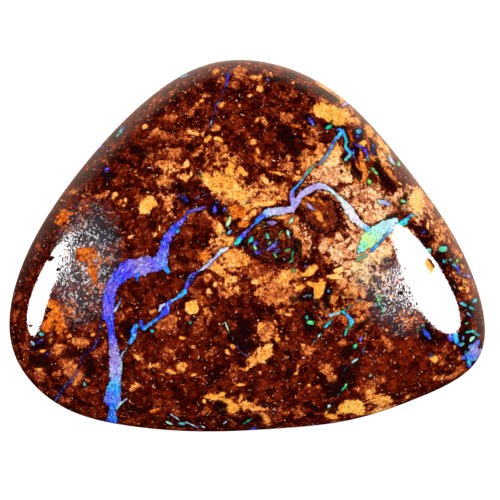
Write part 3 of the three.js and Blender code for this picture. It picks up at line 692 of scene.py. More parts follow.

# %% [markdown]
# ## Dark patches, nuts and the red ground
# Dense iron oxide shows nearly black, above all where a seam ends. Nuts are round concretions
# with thin shells, one inside another. The rest of the ground is red-brown, and clearer and
# redder in a few places. Soft orange rock takes no polish, coarse dark rock tears out in the
# polishing, and here and there a grain leaves a pit. These show only beside the bright windows,
# so just those places are named. In the torn zones a grey haze and white glints are also
# painted into the colour, as reflection of the windows in the rough skin.

# %% Place the dark rock
# Each patch is (x, y, half length, half width, turn), in mm.
DARK_PATCHES = [
    (2.7, 7.3, 0.9, 0.6, -40), (3.3, 6.5, 0.6, 0.35, -50), (2.6, 7.9, 0.5, 0.4, 0),
    (-11.3, 4.6, 0.7, 0.24, 42), (-9.0, 5.9, 0.5, 0.3, 30), (-7.7, 6.7, 0.9, 0.3, -50),
    (-9.7, 4.9, 0.5, 0.4, 0), (-4.5, 3.9, 0.8, 0.3, -30), (-2.2, 2.7, 0.55, 0.6, -60),
    (-4.2, 3.2, 0.5, 0.4, -40), (-1.6, 2.3, 0.35, 0.5, 0), (-1.2, 1.0, 0.5, 0.24, 35),
    (5.65, 8.3, 0.45, 0.34, 0), (4.35, 8.75, 0.5, 0.22, -30), (6.5, 8.2, 0.5, 0.24, 0),
    (6.85, 7.4, 0.26, 0.7, 0), (7.7, 7.8, 0.5, 0.42, 0), (7.4, 6.6, 0.3, 0.6, 0),
    (8.75, 6.8, 0.22, 0.8, 20), (9.5, 4.6, 0.8, 0.4, -40), (7.55, 5.1, 0.24, 0.7, 20),
    (6.9, 6.0, 0.34, 0.4, 0), (9.1, 5.5, 0.2, 0.5, 20), (10.9, 3.2, 0.24, 0.5, -20),
    (10.2, 2.1, 0.8, 0.22, 30), (4.1, -3.5, 0.6, 0.46, 0), (4.3, -5.25, 0.62, 0.8, 0),
    (3.2, -3.7, 0.2, 0.26, 0), (4.9, -3.9, 0.3, 0.2, 0), (5.6, -3.6, 0.3, 0.8, 0),
    (-0.2, -5.6, 0.55, 0.8, 20), (-0.6, -6.6, 0.5, 0.9, 25), (3.55, -0.2, 0.26, 0.75, 10),
    (0.2, -6.9, 0.3, 0.5, 0), (-8.2, -5.9, 0.4, 0.7, 0), (-7.1, -5.9, 0.4, 0.3, 0),
    (-5.8, -3.6, 0.4, 0.2, 0), (-14.4, -6.9, 0.8, 0.4, 0), (-14.5, -8.0, 0.7, 0.5, 0),
    (-12.0, -7.6, 0.7, 0.3, 0), (-10.9, -8.5, 0.4, 0.8, 0), (-9.9, 0.7, 1.2, 0.7, -20),
    (-9.8, -1.7, 0.4, 0.5, 0), (8.0, -5.5, 0.8, 0.24, 30), (7.0, -9.0, 0.6, 0.9, 20),
    (6.0, -10.0, 0.9, 0.5, 30), (7.0, -7.3, 0.7, 0.4, 0), (15.3, -6.6, 0.9, 0.9, 0),
    (15.6, -4.4, 0.4, 0.5, 0), (12.4, -6.1, 0.9, 0.4, -30), (15.5, -8.3, 0.4, 0.3, 0),
    (14.6, -6.5, 0.5, 0.5, 0), (13.2, -0.9, 0.4, 0.35, -40), (13.5, -1.6, 0.5, 0.2, -30),
    (12.2, 1.0, 0.4, 0.3, 0), (-1.9, -11.3, 0.6, 0.45, 0), (-4.6, -12.3, 1.2, 0.22, -12),
    (0.1, -12.2, 0.9, 0.3, 15), (-2.2, -9.0, 0.6, 0.35, -20), (-7.6, -11.4, 0.9, 0.3, -10),
    (4.5, -11.2, 0.7, 0.3, -10), (2.9, -8.9, 0.3, 0.5, 0), (8.6, -3.3, 0.35, 0.4, 0),
    (6.6, -3.3, 0.4, 0.12, -20), (7.9, -2.6, 0.4, 0.1, -40), (7.3, -2.0, 0.3, 0.1, 30),
    (-3.9, 6.9, 0.35, 0.3, 0), (9.7, -1.1, 0.45, 0.26, -30), (10.65, -3.2, 0.16, 0.14, 0),
    (14.5, -2.9, 0.6, 0.2, -60), (8.9, -2.3, 0.2, 0.3, 0), (12.3, 0.2, 0.35, 0.5, 20),
    (7.0, 10.5, 0.1, 0.1, 0), (5.9, 10.3, 0.7, 0.3, -20), (-1.0, 3.0, 0.7, 0.06, -22),
    (0.1, 3.05, 0.22, 0.16, 0), (1.1, 2.6, 0.2, 0.14, 0), (-1.4, 4.9, 0.3, 0.04, -30),
    (-3.4, 5.0, 0.3, 0.2, -50),
]

# Each nut is (x, y, half length, half width, turn, shells per mm).
NUTS = [
    (1.55, 0.25, 2.0, 1.5, -12, 3.2), (5.2, 2.1, 1.45, 1.1, -50, 0.5), (5.9, -11.35, 0.45, 0.4, 0, 3.0),
]

# Each place is (x, y, half length, half width, turn, redness), where the ground is clear and red.
RED_FADE, RED_BORDER = 0.5, 0.6  # mm to fade over, and the share of the red left at the border
RED_GROUND = [
    (11.0, -8.2, 1.8, 1.9, 0, 1.0), (-6.5, -10.4, 1.6, 1.4, 0, 0.7), (1.8, -9.0, 1.6, 1.6, 0, 0.5),
    (-5.6, -7.0, 2.0, 1.2, 0, 0.6), (-3.6, -8.2, 0.6, 1.6, 0, 0.6), (1.2, 7.2, 1.6, 0.9, -10, 0.7),
    (-1.2, 9.0, 1.4, 1.2, 0, 0.5), (-7.0, 8.0, 1.2, 0.8, 30, 0.6), (-3.0, -1.0, 0.7, 0.6, 0, 0.8),
    (9.0, -8.9, 1.6, 0.7, 0, 0.8), (-6.2, -3.1, 1.6, 1.0, 0, 0.6), (4.6, -10.6, 0.8, 0.6, 0, 0.5),
    (6.0, -7.5, 1.0, 0.8, 0, 0.6), (0.8, 6.0, 0.8, 0.6, 0, 0.8), (-8.6, 7.0, 0.8, 0.5, 30, 0.5),
]

# Soft rock and pits are (x, y, half length, half width, turn), and torn zones have a share too.
# The torn zones make the skin rougher, and a painted reflection of the windows lies in them.
SOFT_ROCK = [
    (-11.1, -0.6, 0.75, 0.45, 0), (-10.7, -1.7, 0.7, 0.3, -80), (-13.35, -4.35, 0.6, 0.32, -70),
    (-13.0, -5.3, 0.6, 0.26, -70), (-13.7, -5.5, 0.5, 0.26, 30), (-12.9, 1.85, 0.5, 0.42, -70),
    (12.62, -1.35, 0.7, 0.28, -75),
]
# Pits are laid with the dark patches as well, so the dark colour in them is painted shade.
SHADED_PITS = [
    (-13.62, -0.83, 0.26, 0.22, 0), (-13.16, -1.52, 0.2, 0.18, 0), (-13.95, -0.69, 0.34, 0.18, 60),
    (-11.5, 0.67, 0.16, 0.14, 0), (-11.95, 0.6, 0.16, 0.12, 0), (-15.0, -5.6, 0.2, 0.16, 0),
    (-14.3, -1.3, 0.16, 0.13, 0), (-12.6, 0.3, 0.16, 0.12, 0), (-13.9, -2.6, 0.15, 0.12, 0),
    (-12.9, -0.9, 0.14, 0.12, 0), (-13.6, -3.4, 0.14, 0.11, 0), (-14.6, -2.5, 0.14, 0.12, 0),
    (10.6, -3.25, 0.2, 0.14, 0), (10.4, -0.3, 0.2, 0.14, -60), (10.9, -1.6, 0.16, 0.1, 40),
    (11.9, -4.0, 0.16, 0.1, 0), (11.2, -3.2, 0.12, 0.1, 0),
]
TORN_ROCK_AND_SHEEN = [(-11.3, -1.2, 4.8, 2.7, 80, 1.0), (9.9, -3.3, 3.6, 2.3, -57, 1.0)]

dark_depth, _ = oval_field(*wander(plan_x, plan_y, 0.14, 0.6, seed=51), DARK_PATCHES + SHADED_PITS)
soft_depth, _ = oval_field(*wander(plan_x, plan_y, 0.12, 0.7, seed=61), SOFT_ROCK + SHADED_PITS)
nut_depth, (nut_shells, *_) = oval_field(*wander(plan_x, plan_y, 0.1, 1.0, seed=71), NUTS, (1.0,))
red_ovals = [place[:5] for place in RED_GROUND]
red_depth, _ = oval_field(*wander(plan_x, plan_y, 0.3, 1.2, seed=91), red_ovals)
_, (redness, *_) = oval_field(plan_x, plan_y, RED_GROUND, (0.0,))
redness = redness * np.clip(red_depth / RED_FADE + RED_BORDER, 0, 1)
# the torn zones' share: a rougher skin, and the place where the reflection of the windows is painted
torn_and_sheen = zone_share(TORN_ROCK_AND_SHEEN)
print(len(DARK_PATCHES), "dark patches and", len(NUTS), "nuts")

# %% [markdown]
# ## The fields on the mesh
# Each field is stored as one number for each point of the mesh, under a name that the material
# reads. The points lie about 0.09 mm apart, and a depth changes evenly between them, so even a seam
# that is thinner than that keeps its edges.

# %% Hang the fields on the mesh
fields = {
    "opal_depth": opal_depth, "opal_play": opal_play, "opal_milk": opal_milk,
    "opal_half": opal_half, "opal_along": opal_along, "opal_across": opal_across,
    "pale_depth": pale_depth, "pale_half": pale_half, "pale_tone": pale_tone, "crowding": crowding,
    "leached": leached, "dark_depth": dark_depth, "nut_depth": nut_depth, "nut_shells": nut_shells,
    "redness": redness, "soft_depth": soft_depth, "torn_and_sheen": torn_and_sheen,
}
for name, values in fields.items():
    attribute = mesh.attributes.new(name, "FLOAT", "POINT")
    attribute.data.foreach_set("value", values.astype(np.float32))
print("fields", ", ".join(fields))

# %% [markdown]
# ## Colours and nodes
# Colours are written as the sRGB hex values that a painter would pick, and one function turns
# them to the linear values that light needs. One function adds any node, and the small ones after
# it name what the nodes are for.

# %% Colour and node helpers


def linear(hex_colour):
    """An sRGB hex value as linear RGBA: below 0.04045 it is divided by 12.92, else the 2.4 power."""
    parts = np.array([int(hex_colour[i:i + 2], 16) for i in (1, 3, 5)]) / 255
    parts = np.where(parts <= 0.04045, parts / 12.92, ((parts + 0.055) / 1.055) ** 2.4)
    return (*parts.tolist(), 1.0)


def add(tree, kind, feeds=None, stops=None, **settings):
    """Adds a node with its settings, the colour stops of a ramp, and a value or link per socket."""
    node = tree.nodes.new("ShaderNode" + kind)
    for name, value in settings.items():
        setattr(node, name, value)
    for number, (place, colour) in enumerate(stops or ()):
        ramp = node.color_ramp.elements
        stop = ramp[number] if number < 2 else ramp.new(place)
        stop.position, stop.color = place, linear(colour)
    for socket, value in (feeds or {}).items():
        if isinstance(value, bpy.types.NodeSocket):
            tree.links.new(value, node.inputs[socket])
        else:
            node.inputs[socket].default_value = value
    return node


def start_material(name):
    """An empty node material, and the tree that holds its nodes."""
    material = bpy.data.materials.new(name)
    material.use_nodes = True
    material.node_tree.nodes.clear()
    return material, material.node_tree


def end_material(tree, feeds):
    """One Principled surface with these values or links, joined to the material's output."""
    add(tree, "OutputMaterial", {"Surface": add(tree, "BsdfPrincipled", feeds).outputs[0]})


def noise(tree, place, per_mm, detail, roughness=0.5, distortion=0.0):
    """Smooth noise from 0 to 1. Its broadest lumps are about 1 / per_mm wide."""
    feeds = {
        "Vector": place, "Scale": per_mm, "Detail": detail, "Roughness": roughness,
        "Distortion": distortion,
    }
    return add(tree, "TexNoise", feeds).outputs["Fac"]


def grains(tree, place, per_mm):
    """Round cells: the distance from the middle of each, and its three random lots from 0 to 1."""
    cell = add(tree, "TexVoronoi", {"Vector": place, "Scale": per_mm})
    return cell.outputs["Distance"], add(tree, "SeparateColor", {0: cell.outputs["Color"]}).outputs


def colour_of(tree, value, stops):
    """The colour that a value has on a ramp of stops (value, colour)."""
    return add(tree, "ValToRGB", {0: value}, stops).outputs[0]


def lay_over(tree, under, over, share):
    """Lays a colour, a socket or a hex value, over another where share is 1."""
    over = linear(over) if isinstance(over, str) else over
    return add(tree, "Mix", {0: share, 6: under, 7: over}, data_type="RGBA").outputs[2]


def maths(tree, operation, *values):
    """The result of one operation on up to three values or sockets."""
    return add(tree, "Math", dict(enumerate(values)), operation=operation).outputs[0]


def sum_of(tree, value, factor, more):
    """value times factor plus more."""
    return maths(tree, "MULTIPLY_ADD", value, factor, more)


def moved(tree, value, target, share):
    """A value moved towards a target by a share of the way: value + share (target - value)."""
    return sum_of(tree, share, maths(tree, "SUBTRACT", target, value), value)


def edge(tree, value, start, end, low=0.0, high=1.0):
    """A soft edge: `low` where the value is at start or before it, `high` at end or past it."""
    feeds = {"Value": value, "From Min": start, "From Max": end, "To Min": low, "To Max": high}
    return add(tree, "MapRange", feeds, interpolation_type="SMOOTHSTEP").outputs["Result"]


print("a middle grey, #808080, is", round(linear("#808080")[0], 3), "of white in linear light")

# %% [markdown]
# ## The ironstone ground
# Ironstone is sand cemented by iron oxide: rounded dark grains with nearly black gaps, in browns
# that turn paler where there is less oxide. So one number, the tone, says how much oxide a point
# has lost, and one ramp of colours goes with it. Two sizes of grain, 0.8 and 0.35 mm, and two
# noises make the tone. A smooth noise bends the place first, so that no grain has straight sides.

# %% Mix the ground
GRAINS_PER_MM = 1.25
CRUMBS_PER_MM = 2.8
SAND_PER_MM = 4.2
FINE_SAND_PER_MM = 6.5
MOTTLES_PER_MM = 1.5
FLAKES_PER_MM = 3.2
DUST_PER_MM = 7.0
BENDS_PER_MM = 1.6
BEND = 0.9  # mm from one end of the bending noise to the other
GROUND_TONE = 0.365
DUST_RANGE = (0.3, 0.7)  # where nearly all of the dust noise lies
ROCK = [
    (0.0, "#200200"), (0.12, "#380401"), (0.24, "#4e0b02"), (0.36, "#681706"), (0.48, "#862a0e"),
    (0.6, "#aa4c20"), (0.72, "#d07238"), (0.84, "#f09242"), (0.94, "#faac54"), (1.0, "#fdc47c"),
]
QUARTZ = [(0.0, "#8a3414"), (0.35, "#b86a4a"), (0.6, "#d8a088"), (0.8, "#e08a40"), (1.0, "#f0e0d0")]


def bent_place(tree):
    """The place in mm on the stone, and the same moved by smooth noise, 0.45 mm at the most."""
    flat = add(tree, "TexCoord").outputs["Object"]
    place = add(tree, "Mapping", {"Vector": flat, "Scale": (1 / MM,) * 3}).outputs[0]
    bend = add(tree, "TexNoise", {"Vector": place, "Scale": BENDS_PER_MM, "Detail": 3.0})
    bend = add(tree, "VectorMath", {0: bend.outputs["Color"], 1: (0.5,) * 3}, operation="SUBTRACT")
    feeds = {0: bend.outputs[0], 1: (BEND,) * 3, 2: place}
    return place, add(tree, "VectorMath", feeds, operation="MULTIPLY_ADD").outputs[0]


def ground_tone(tree, place, bent):
    """The tone of the ground, and its dust and flake noises for the layers above. Each part is
    centred on nought and then weighed. Then come soft steps, each with the change it makes."""
    grain_distance, grain_lots = grains(tree, bent, GRAINS_PER_MM)
    crumb_distance, crumb_lots = grains(tree, bent, CRUMBS_PER_MM)
    mottle = noise(tree, bent, MOTTLES_PER_MM, 4.0, 0.55, 0.3)
    dust = noise(tree, place, DUST_PER_MM, 3.0, 0.7)
    flakes = noise(tree, bent, FLAKES_PER_MM, 2.0, 0.55, 0.7)
    tone = GROUND_TONE
    parts = ((grain_lots["Red"], 0.24), (crumb_lots["Red"], 0.2), (mottle, 1.0), (dust, 0.4))
    for part, weight in parts:
        tone = sum_of(tree, part, weight, sum_of(tree, tone, 1.0, -0.5 * weight))
    steps = (
        (crumb_distance, 0.3, 0.65, -0.16),  # the gaps between the crumbs are darker
        (grain_distance, 0.2, 0.7, -0.12),  # and so are those between the grains
        (flakes, 0.6, 0.64, 0.2),  # pale flakes stand out sharply
        (flakes, 0.4, 0.36, -0.14),  # and so do dark ones
    )
    for value, start, end, change in steps:
        tone = sum_of(tree, edge(tree, value, start, end), change, tone)
    return tone, dust, flakes


def sand_specks(tree, bent, per_mm):
    """Bare quartz grains: a share of small cells, each with its own colour, and where they are."""
    distance, lots = grains(tree, bent, per_mm)
    shown = maths(tree, "MULTIPLY", edge(tree, distance, 0.34, 0.16), edge(tree, lots["Red"], 0.85, 0.89))
    return colour_of(tree, lots["Green"], QUARTZ), shown


print(f"grains {1 / GRAINS_PER_MM:.1f} mm, sand {1 / SAND_PER_MM:.2f} mm, dust {1 / DUST_PER_MM:.2f} mm")

# %% [markdown]
# ## The polished face
# The face is mixed as the rock was made: the ground first, then the pale rock, the nuts, the dark
# rock and the opal. Every marking needs an edge that wavers. The mesh is too coarse for that, so
# one noise, in mm, is added to each depth with a weight of its own.

# %% Start the face
RAGGED_PER_MM = 3.8
BROAD_PER_MM = 1.9
RAGGED_SWING, BROAD_SWING = 0.95, 0.9  # mm from one end of each noise to the other
LEACHED_LIFT = 0.05  # of the ground's tone

face, tree = start_material("polished_ironstone_with_opal")
place, bent = bent_place(tree)
read = {name: add(tree, "Attribute", attribute_name=name).outputs["Fac"] for name in fields}
ground, dust, flakes = ground_tone(tree, place, bent)
ground = sum_of(tree, read["leached"], LEACHED_LIFT, ground)
ragged = noise(tree, place, RAGGED_PER_MM, 4.0, 0.62, 1.0)
broad = noise(tree, place, BROAD_PER_MM, 4.0, 0.6)
waver = sum_of(tree, broad, BROAD_SWING, -(RAGGED_SWING + BROAD_SWING) / 2)
waver = sum_of(tree, ragged, RAGGED_SWING, waver)  # mm, mostly within 0.3
print("face started with", len(tree.nodes), "nodes")

# %% [markdown]
# ## The look of the pale rock
# The pale rock lifts the same tone by a soft step, so that it fades into the ground through rusty
# browns. Scraps fade over half a millimetre, and patches are crisper, the yellow and small ones
# most of all. Yellow and cream patches are also calmer inside, because their rock is finer.

# %% Paint the pale rock
LEACHED_ROCK = [
    (0.0, "#200200"), (0.12, "#380401"), (0.24, "#4e0e06"), (0.36, "#661c0c"), (0.48, "#823216"),
    (0.6, "#a4542f"), (0.72, "#c87c56"), (0.84, "#e89e68"), (0.94, "#f6b87c"), (1.0, "#fdd6a8"),
]
YELLOW_ROCK = [
    (0.0, "#200200"), (0.3, "#5a1404"), (0.5, "#943608"), (0.62, "#bc5a10"), (0.74, "#e08020"),
    (0.86, "#f6a032"), (0.94, "#fcb648"), (1.0, "#ffd078"),
]
RED_ROCK = [(0.0, "#2e0401"), (0.3, "#641304"), (0.6, "#942806"), (1.0, "#c04c12")]
PATCH_RAGGED = (1.5, 0.08)  # the waver's weight: this for each mm of half width, and this more
SCRAP_RAGGED = 1.1  # the waver's weight in the scraps
SCRAP_FADE = (-0.3, 0.14)  # mm of depth

# Where it is: rough is 1 for the rustier patches and less for the yellow ones.
rough = edge(tree, read["pale_tone"], 0.5, 0.85, 1.0, 0.45)
ragged_by = maths(tree, "MULTIPLY", sum_of(tree, read["pale_half"], *PATCH_RAGGED), rough)
patch = sum_of(tree, waver, ragged_by, read["pale_depth"])
in_patch = edge(tree, patch, sum_of(tree, rough, -0.09, -0.04), sum_of(tree, rough, 0.06, 0.03))
scraps = edge(tree, sum_of(tree, waver, SCRAP_RAGGED, read["crowding"]), *SCRAP_FADE)
pale_share = maths(tree, "MAXIMUM", scraps, in_patch)

# How pale it is: its own tone, then noise and flakes, less of them where the patch is calm.
own_tone = sum_of(tree, in_patch, edge(tree, read["pale_tone"], -0.1, 0.7, -0.24, 0.14), 0.15)
own_tone = sum_of(tree, read["leached"], 0.18, own_tone)
own_tone = sum_of(tree, in_patch, edge(tree, read["pale_tone"], 0.8, 1.0, 0.0, 0.07), own_tone)
pale_tone = sum_of(tree, own_tone, 1.0, -0.26)
for part, weight in ((dust, 0.22), (ragged, 0.98), (broad, 0.5)):
    pale_tone = sum_of(tree, part, weight, pale_tone)
hole = sum_of(tree, in_patch, 0.34, -0.48)
pale_tone = sum_of(tree, edge(tree, flakes, 0.43, 0.37), hole, pale_tone)
pale_tone = sum_of(tree, edge(tree, flakes, 0.57, 0.63), 0.12, pale_tone)
even = maths(tree, "ADD", own_tone, edge(tree, read["pale_tone"], 0.65, 0.8, 0.42, 0.56))
calm = maths(tree, "MULTIPLY", in_patch, sum_of(tree, rough, -1.0, 1.0))
pale_tone = moved(tree, pale_tone, even, calm)

# Its colour: one ramp for the ground and the pale rock, with others laid over it in places.
tone = moved(tree, ground, pale_tone, pale_share)
yellow_share = maths(tree, "MULTIPLY", in_patch, edge(tree, read["pale_tone"], 0.3, 0.9, 0.0, 0.9))
red_share = maths(tree, "MULTIPLY", read["redness"], edge(tree, pale_share, 0.5, 0.0))
colour = colour_of(tree, tone, ROCK)
leached_share = edge(tree, read["leached"], 0.3, 0.9)
for stops, share in (
    (LEACHED_ROCK, leached_share), (YELLOW_ROCK, yellow_share), (RED_ROCK, red_share),
):
    colour = lay_over(tree, colour, colour_of(tree, tone, stops), share)
for per_mm in (SAND_PER_MM, FINE_SAND_PER_MM):
    colour = lay_over(tree, colour, *sand_specks(tree, bent, per_mm))
print("pale rock painted:", len(tree.nodes), "nodes so far")

# %% [markdown]
# ## The look of the nuts, the embers and the dark rock
# A nut grew in shells, so its colour comes from a wave of the depth, and its skin is nearly black.
# Embers have their own ramp and lie over the nuts, because they fill cracks in them. The dark
# rock is laid last, since it is the cement that holds the rest. The same layer paints the pits
# dark, as painted shade inside them.

# %% Paint the nuts and the dark rock
SHELL_SHIFT = 12.0  # radians, by which the broad noise shifts the wave of the shells
SHELLS = [(0.2, "#140404"), (0.4, "#48110a"), (0.62, "#80280f"), (0.85, "#ac5428")]
EMBER_ROCK = [(0.2, "#560c00"), (0.38, "#ac3808"), (0.52, "#da6519"), (0.68, "#f0882b"), (0.9, "#fca846")]
DARK_ROCK_AND_PIT_SHADE = [(0.4, "#060104"), (0.75, "#300a06")]
NUT_FADE, DARK_FADE = (-0.05, 0.12), (-0.1, 0.14)  # mm of depth
NUT_RAGGED, DARK_RAGGED = 0.6, 0.9  # the waver's weight
NUT_SKIN, SKIN_HALF = 0.08, 0.07  # mm from the border in to the skin's middle, and half its width

phase = maths(tree, "MULTIPLY", read["nut_depth"], read["nut_shells"])
phase = sum_of(tree, phase, 2 * math.pi, maths(tree, "MULTIPLY", broad, SHELL_SHIFT))
wave = maths(tree, "MULTIPLY", maths(tree, "SINE", phase), edge(tree, flakes, 0.58, 0.46, 0.07, 0.22))
shell = sum_of(tree, ragged, 0.7, sum_of(tree, dust, 0.5, sum_of(tree, wave, 1.0, -0.18)))
nut = sum_of(tree, waver, NUT_RAGGED, read["nut_depth"])
colour = lay_over(tree, colour, colour_of(tree, shell, SHELLS), edge(tree, nut, *NUT_FADE, 0.0, 0.85))
colour = lay_over(tree, colour, "#0c0204", maths(tree, "COMPARE", nut, NUT_SKIN, SKIN_HALF))

ember_share = maths(tree, "MULTIPLY", in_patch, edge(tree, read["pale_tone"], -0.2, -0.4))
colour = lay_over(tree, colour, colour_of(tree, tone, EMBER_ROCK), ember_share)
# the dark rock, and the pits darkened as painted shade
dark = sum_of(tree, waver, DARK_RAGGED, read["dark_depth"])
dark_share = edge(tree, dark, *DARK_FADE, 0.0, 0.95)
colour = lay_over(tree, colour, colour_of(tree, dust, DARK_ROCK_AND_PIT_SHADE), dark_share)
print("nuts and dark rock painted:", len(tree.nodes), "nodes so far")

# %% [markdown]
# ## The look of the opal
# The opal's hue comes from its play of colour, shifted by streaks that run along the seam. Clear
# opal looks deep: glints light it up, and it is dark between them and at the walls of the crack.
# Milky opal scatters the light, so it has none of that depth. A dark crack lies round every seam.

# %% Paint the opal
STREAKS_ALONG, STREAKS_ACROSS = 1.7, 4.0  # per mm
STREAK_SHIFT = 0.75  # of the play of colour, from one end of the streaks' noise to the other
GLINTS = 2.1  # to each streak
OPAL_RAGGED = (0.8, 0.07)  # the waver's weight: this for each mm of half width, and this more
OPAL_FADE, CRACK_FADE = (-0.02, 0.03), (-0.16, -0.02)  # mm of depth
WALL_SHADE = 0.09  # mm inside the walls of the crack
PLAY = [
    (0.0, "#12104e"), (0.1, "#3a20b8"), (0.2, "#7048f8"), (0.3, "#3a30f0"), (0.42, "#2054f4"),
    (0.54, "#2a98fc"), (0.64, "#3ad0fa"), (0.74, "#24d8c0"), (0.84, "#22d888"), (0.92, "#4cf06c"),
    (1.0, "#b0f848"),
]
MILK = [(0.1, "#b496de"), (0.45, "#c6c2e4"), (0.62, "#b8e0ec"), (0.78, "#a6ecd2"), (1.0, "#dcf4a0")]

streak_place = add(tree, "CombineXYZ", {
    0: sum_of(tree, read["opal_along"], STREAKS_ALONG, ragged),
    1: sum_of(tree, read["opal_across"], STREAKS_ACROSS, ragged),
}).outputs[0]
streaks = noise(tree, streak_place, 1.0, 4.0, 0.65)
glints = noise(tree, streak_place, GLINTS, 3.0, 0.6)
opal = sum_of(tree, waver, sum_of(tree, read["opal_half"], *OPAL_RAGGED), read["opal_depth"])
play = sum_of(tree, streaks, STREAK_SHIFT, sum_of(tree, read["opal_play"], 1.0, -STREAK_SHIFT / 2))
milk = sum_of(tree, ragged, 0.9, sum_of(tree, read["opal_milk"], 0.85, -0.5))
clear = edge(tree, milk, 0.3, 0.9, 1.0, 0.15)

opal_colour = colour_of(tree, play, PLAY)
for tint, share in (
    (colour_of(tree, play, MILK), edge(tree, milk, 0.0, 0.85)),
    ("#ece8e4", edge(tree, milk, 0.85, 1.35, 0.0, 0.85)),
    ("#b4ecfc", edge(tree, glints, 0.56, 0.68, 0.0, 0.7)),
    ("#a8dcfa", edge(tree, ragged, 0.6, 0.7, 0.0, 0.6)),
    ("#0c0c3a", maths(tree, "MULTIPLY", edge(tree, glints, 0.48, 0.36, 0.0, 0.7), clear)),
    ("#10103c", maths(tree, "MULTIPLY", edge(tree, opal, WALL_SHADE, 0.0, 0.0, 0.6), clear)),
):
    opal_colour = lay_over(tree, opal_colour, tint, share)
crack = edge(tree, sum_of(tree, waver, 0.3, opal), *CRACK_FADE, 0.0, 0.7)
colour = lay_over(tree, colour, "#120208", crack)
colour = lay_over(tree, colour, opal_colour, edge(tree, opal, *OPAL_FADE))
print("opal painted:", len(tree.nodes), "nodes so far")

# %% [markdown]
# ## The polished skin
# A cutter's tin-oxide polish leaves one clear gloss on the hard rock, so a thin coat stands for the
# polished skin, and the rock below only scatters light. The skin is barely uneven where the polish
# is best. Where coarse grains tore out it is rougher, and there, beside the windows, a grey haze,
# white glints and dark specks are painted into the colour as reflection of the windows. The coat
# is missing on soft rock, in the pits, and in the specks where a grain was lost.

# %% Polish the face
SHARDS_PER_MM = 7.5
GRIT_PER_MM = 7.0
POLISH_ROUGHNESS = 0.035
STONE_IOR = 1.54
SKIN_RELIEF = 0.024  # mm
DUST_SHADE = (0.68, 1.34)  # the colour's darkest and lightest share in the dust
ROCK_ROUGHNESS = (0.3, 0.6)
LOST_SHARDS = (0.2, 0.14)  # the share of the shards that are lost, with a soft step between
UNEVENNESS = (0.1, 0.95)  # the relief's share at the best polish and in the torn rock

# Dust shades everything a little, as the sharp grain of the rock does.
shade = edge(tree, dust, *DUST_RANGE, *DUST_SHADE)
shaded = add(tree, "Mix", {0: 1.0, 6: colour, 7: shade}, data_type="RGBA", blend_type="MULTIPLY")
colour = shaded.outputs[2]

_, shards = grains(tree, bent, SHARDS_PER_MM)
hard = edge(tree, read["soft_depth"], 0.05, -0.1)
hard_torn_and_sheen = maths(tree, "MULTIPLY", read["torn_and_sheen"], hard)
# painted reflection of the windows in the torn zones: a grey haze, dark specks and white glints
for tint, share in (
    ("#302e3a", edge(tree, broad, 0.56, 0.42, 0.0, 0.8)),
    ("#120c12", edge(tree, shards["Green"], 0.42, 0.3, 0.0, 0.7)),
    ("#d8d2d4", edge(tree, shards["Red"], 0.8, 0.88, 0.06, 0.9)),
):
    colour = lay_over(tree, colour, tint, maths(tree, "MULTIPLY", hard_torn_and_sheen, share))

lost = maths(tree, "MULTIPLY", edge(tree, shards["Blue"], *LOST_SHARDS), edge(tree, hard_torn_and_sheen, 0.1, 0.55))
coat = edge(tree, sum_of(tree, waver, 0.25, read["soft_depth"]), 0.0, 0.05, 1.0, 0.0)
unevenness = edge(tree, read["torn_and_sheen"], 0.25, 1.0, *UNEVENNESS)
height = maths(tree, "MULTIPLY", noise(tree, place, GRIT_PER_MM, 2.0), unevenness)
skin = add(tree, "Bump", {"Strength": 1.0, "Distance": SKIN_RELIEF * MM, "Height": height}).outputs[0]
end_material(tree, {
    "Base Color": colour,
    "Roughness": edge(tree, dust, *DUST_RANGE, *ROCK_ROUGHNESS),
    "IOR": STONE_IOR,
    "Specular IOR Level": 0.0,
    "Coat Weight": sum_of(tree, lost, -1.0, coat),
    "Coat Roughness": POLISH_ROUGHNESS,
    "Coat IOR": STONE_IOR,
    "Normal": skin,
    "Coat Normal": skin,
})
print("face painted with", len(tree.nodes), "nodes")

# %% [markdown]
# ## The ground back
# Cutters leave the back of a boulder opal as plain ironstone, ground flat and only smoothed. It
# has the same grains with no opal, and a dull skin with the fine scratches of the last wheel.

# %% Paint the back
SCRATCH_STRETCH = (0.6, 9.0, 1.0)  # per mm, so a scratch is 15 times as long as wide
SCRATCH_TURN = (0, 0, 0.5)  # radians
SCRATCH_RELIEF = 0.006  # mm
BACK_ROUGHNESS = (0.45, 0.65)
BACK_DUST = ("#6a4a3a", 0.22)  # the pale dust of the grinding, and its share

back, tree = start_material("ground_ironstone_back")
place, bent = bent_place(tree)
ground, dust, _ = ground_tone(tree, place, bent)
colour = colour_of(tree, ground, ROCK)
colour = lay_over(tree, colour, *sand_specks(tree, bent, SAND_PER_MM))
streaks = add(tree, "Mapping", {"Vector": place, "Scale": SCRATCH_STRETCH, "Rotation": SCRATCH_TURN})
height = sum_of(tree, noise(tree, streaks.outputs[0], 1.0, 3.0), 0.6, dust)
skin = add(tree, "Bump", {"Strength": 1.0, "Distance": SCRATCH_RELIEF * MM, "Height": height})
end_material(tree, {
    "Base Color": lay_over(tree, colour, *BACK_DUST),
    "Roughness": edge(tree, dust, *DUST_RANGE, *BACK_ROUGHNESS),
    "IOR": STONE_IOR,
    "Normal": skin.outputs[0],
})
for material in (face, back):
    mesh.materials.append(material)
mesh.polygons.foreach_set("material_index", (np.arange(len(mesh.polygons)) >= polished).astype(int))
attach(stone, "root")
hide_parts("boulder_opal")
print(polished, "polished faces and", len(mesh.polygons) - polished, "ground ones")

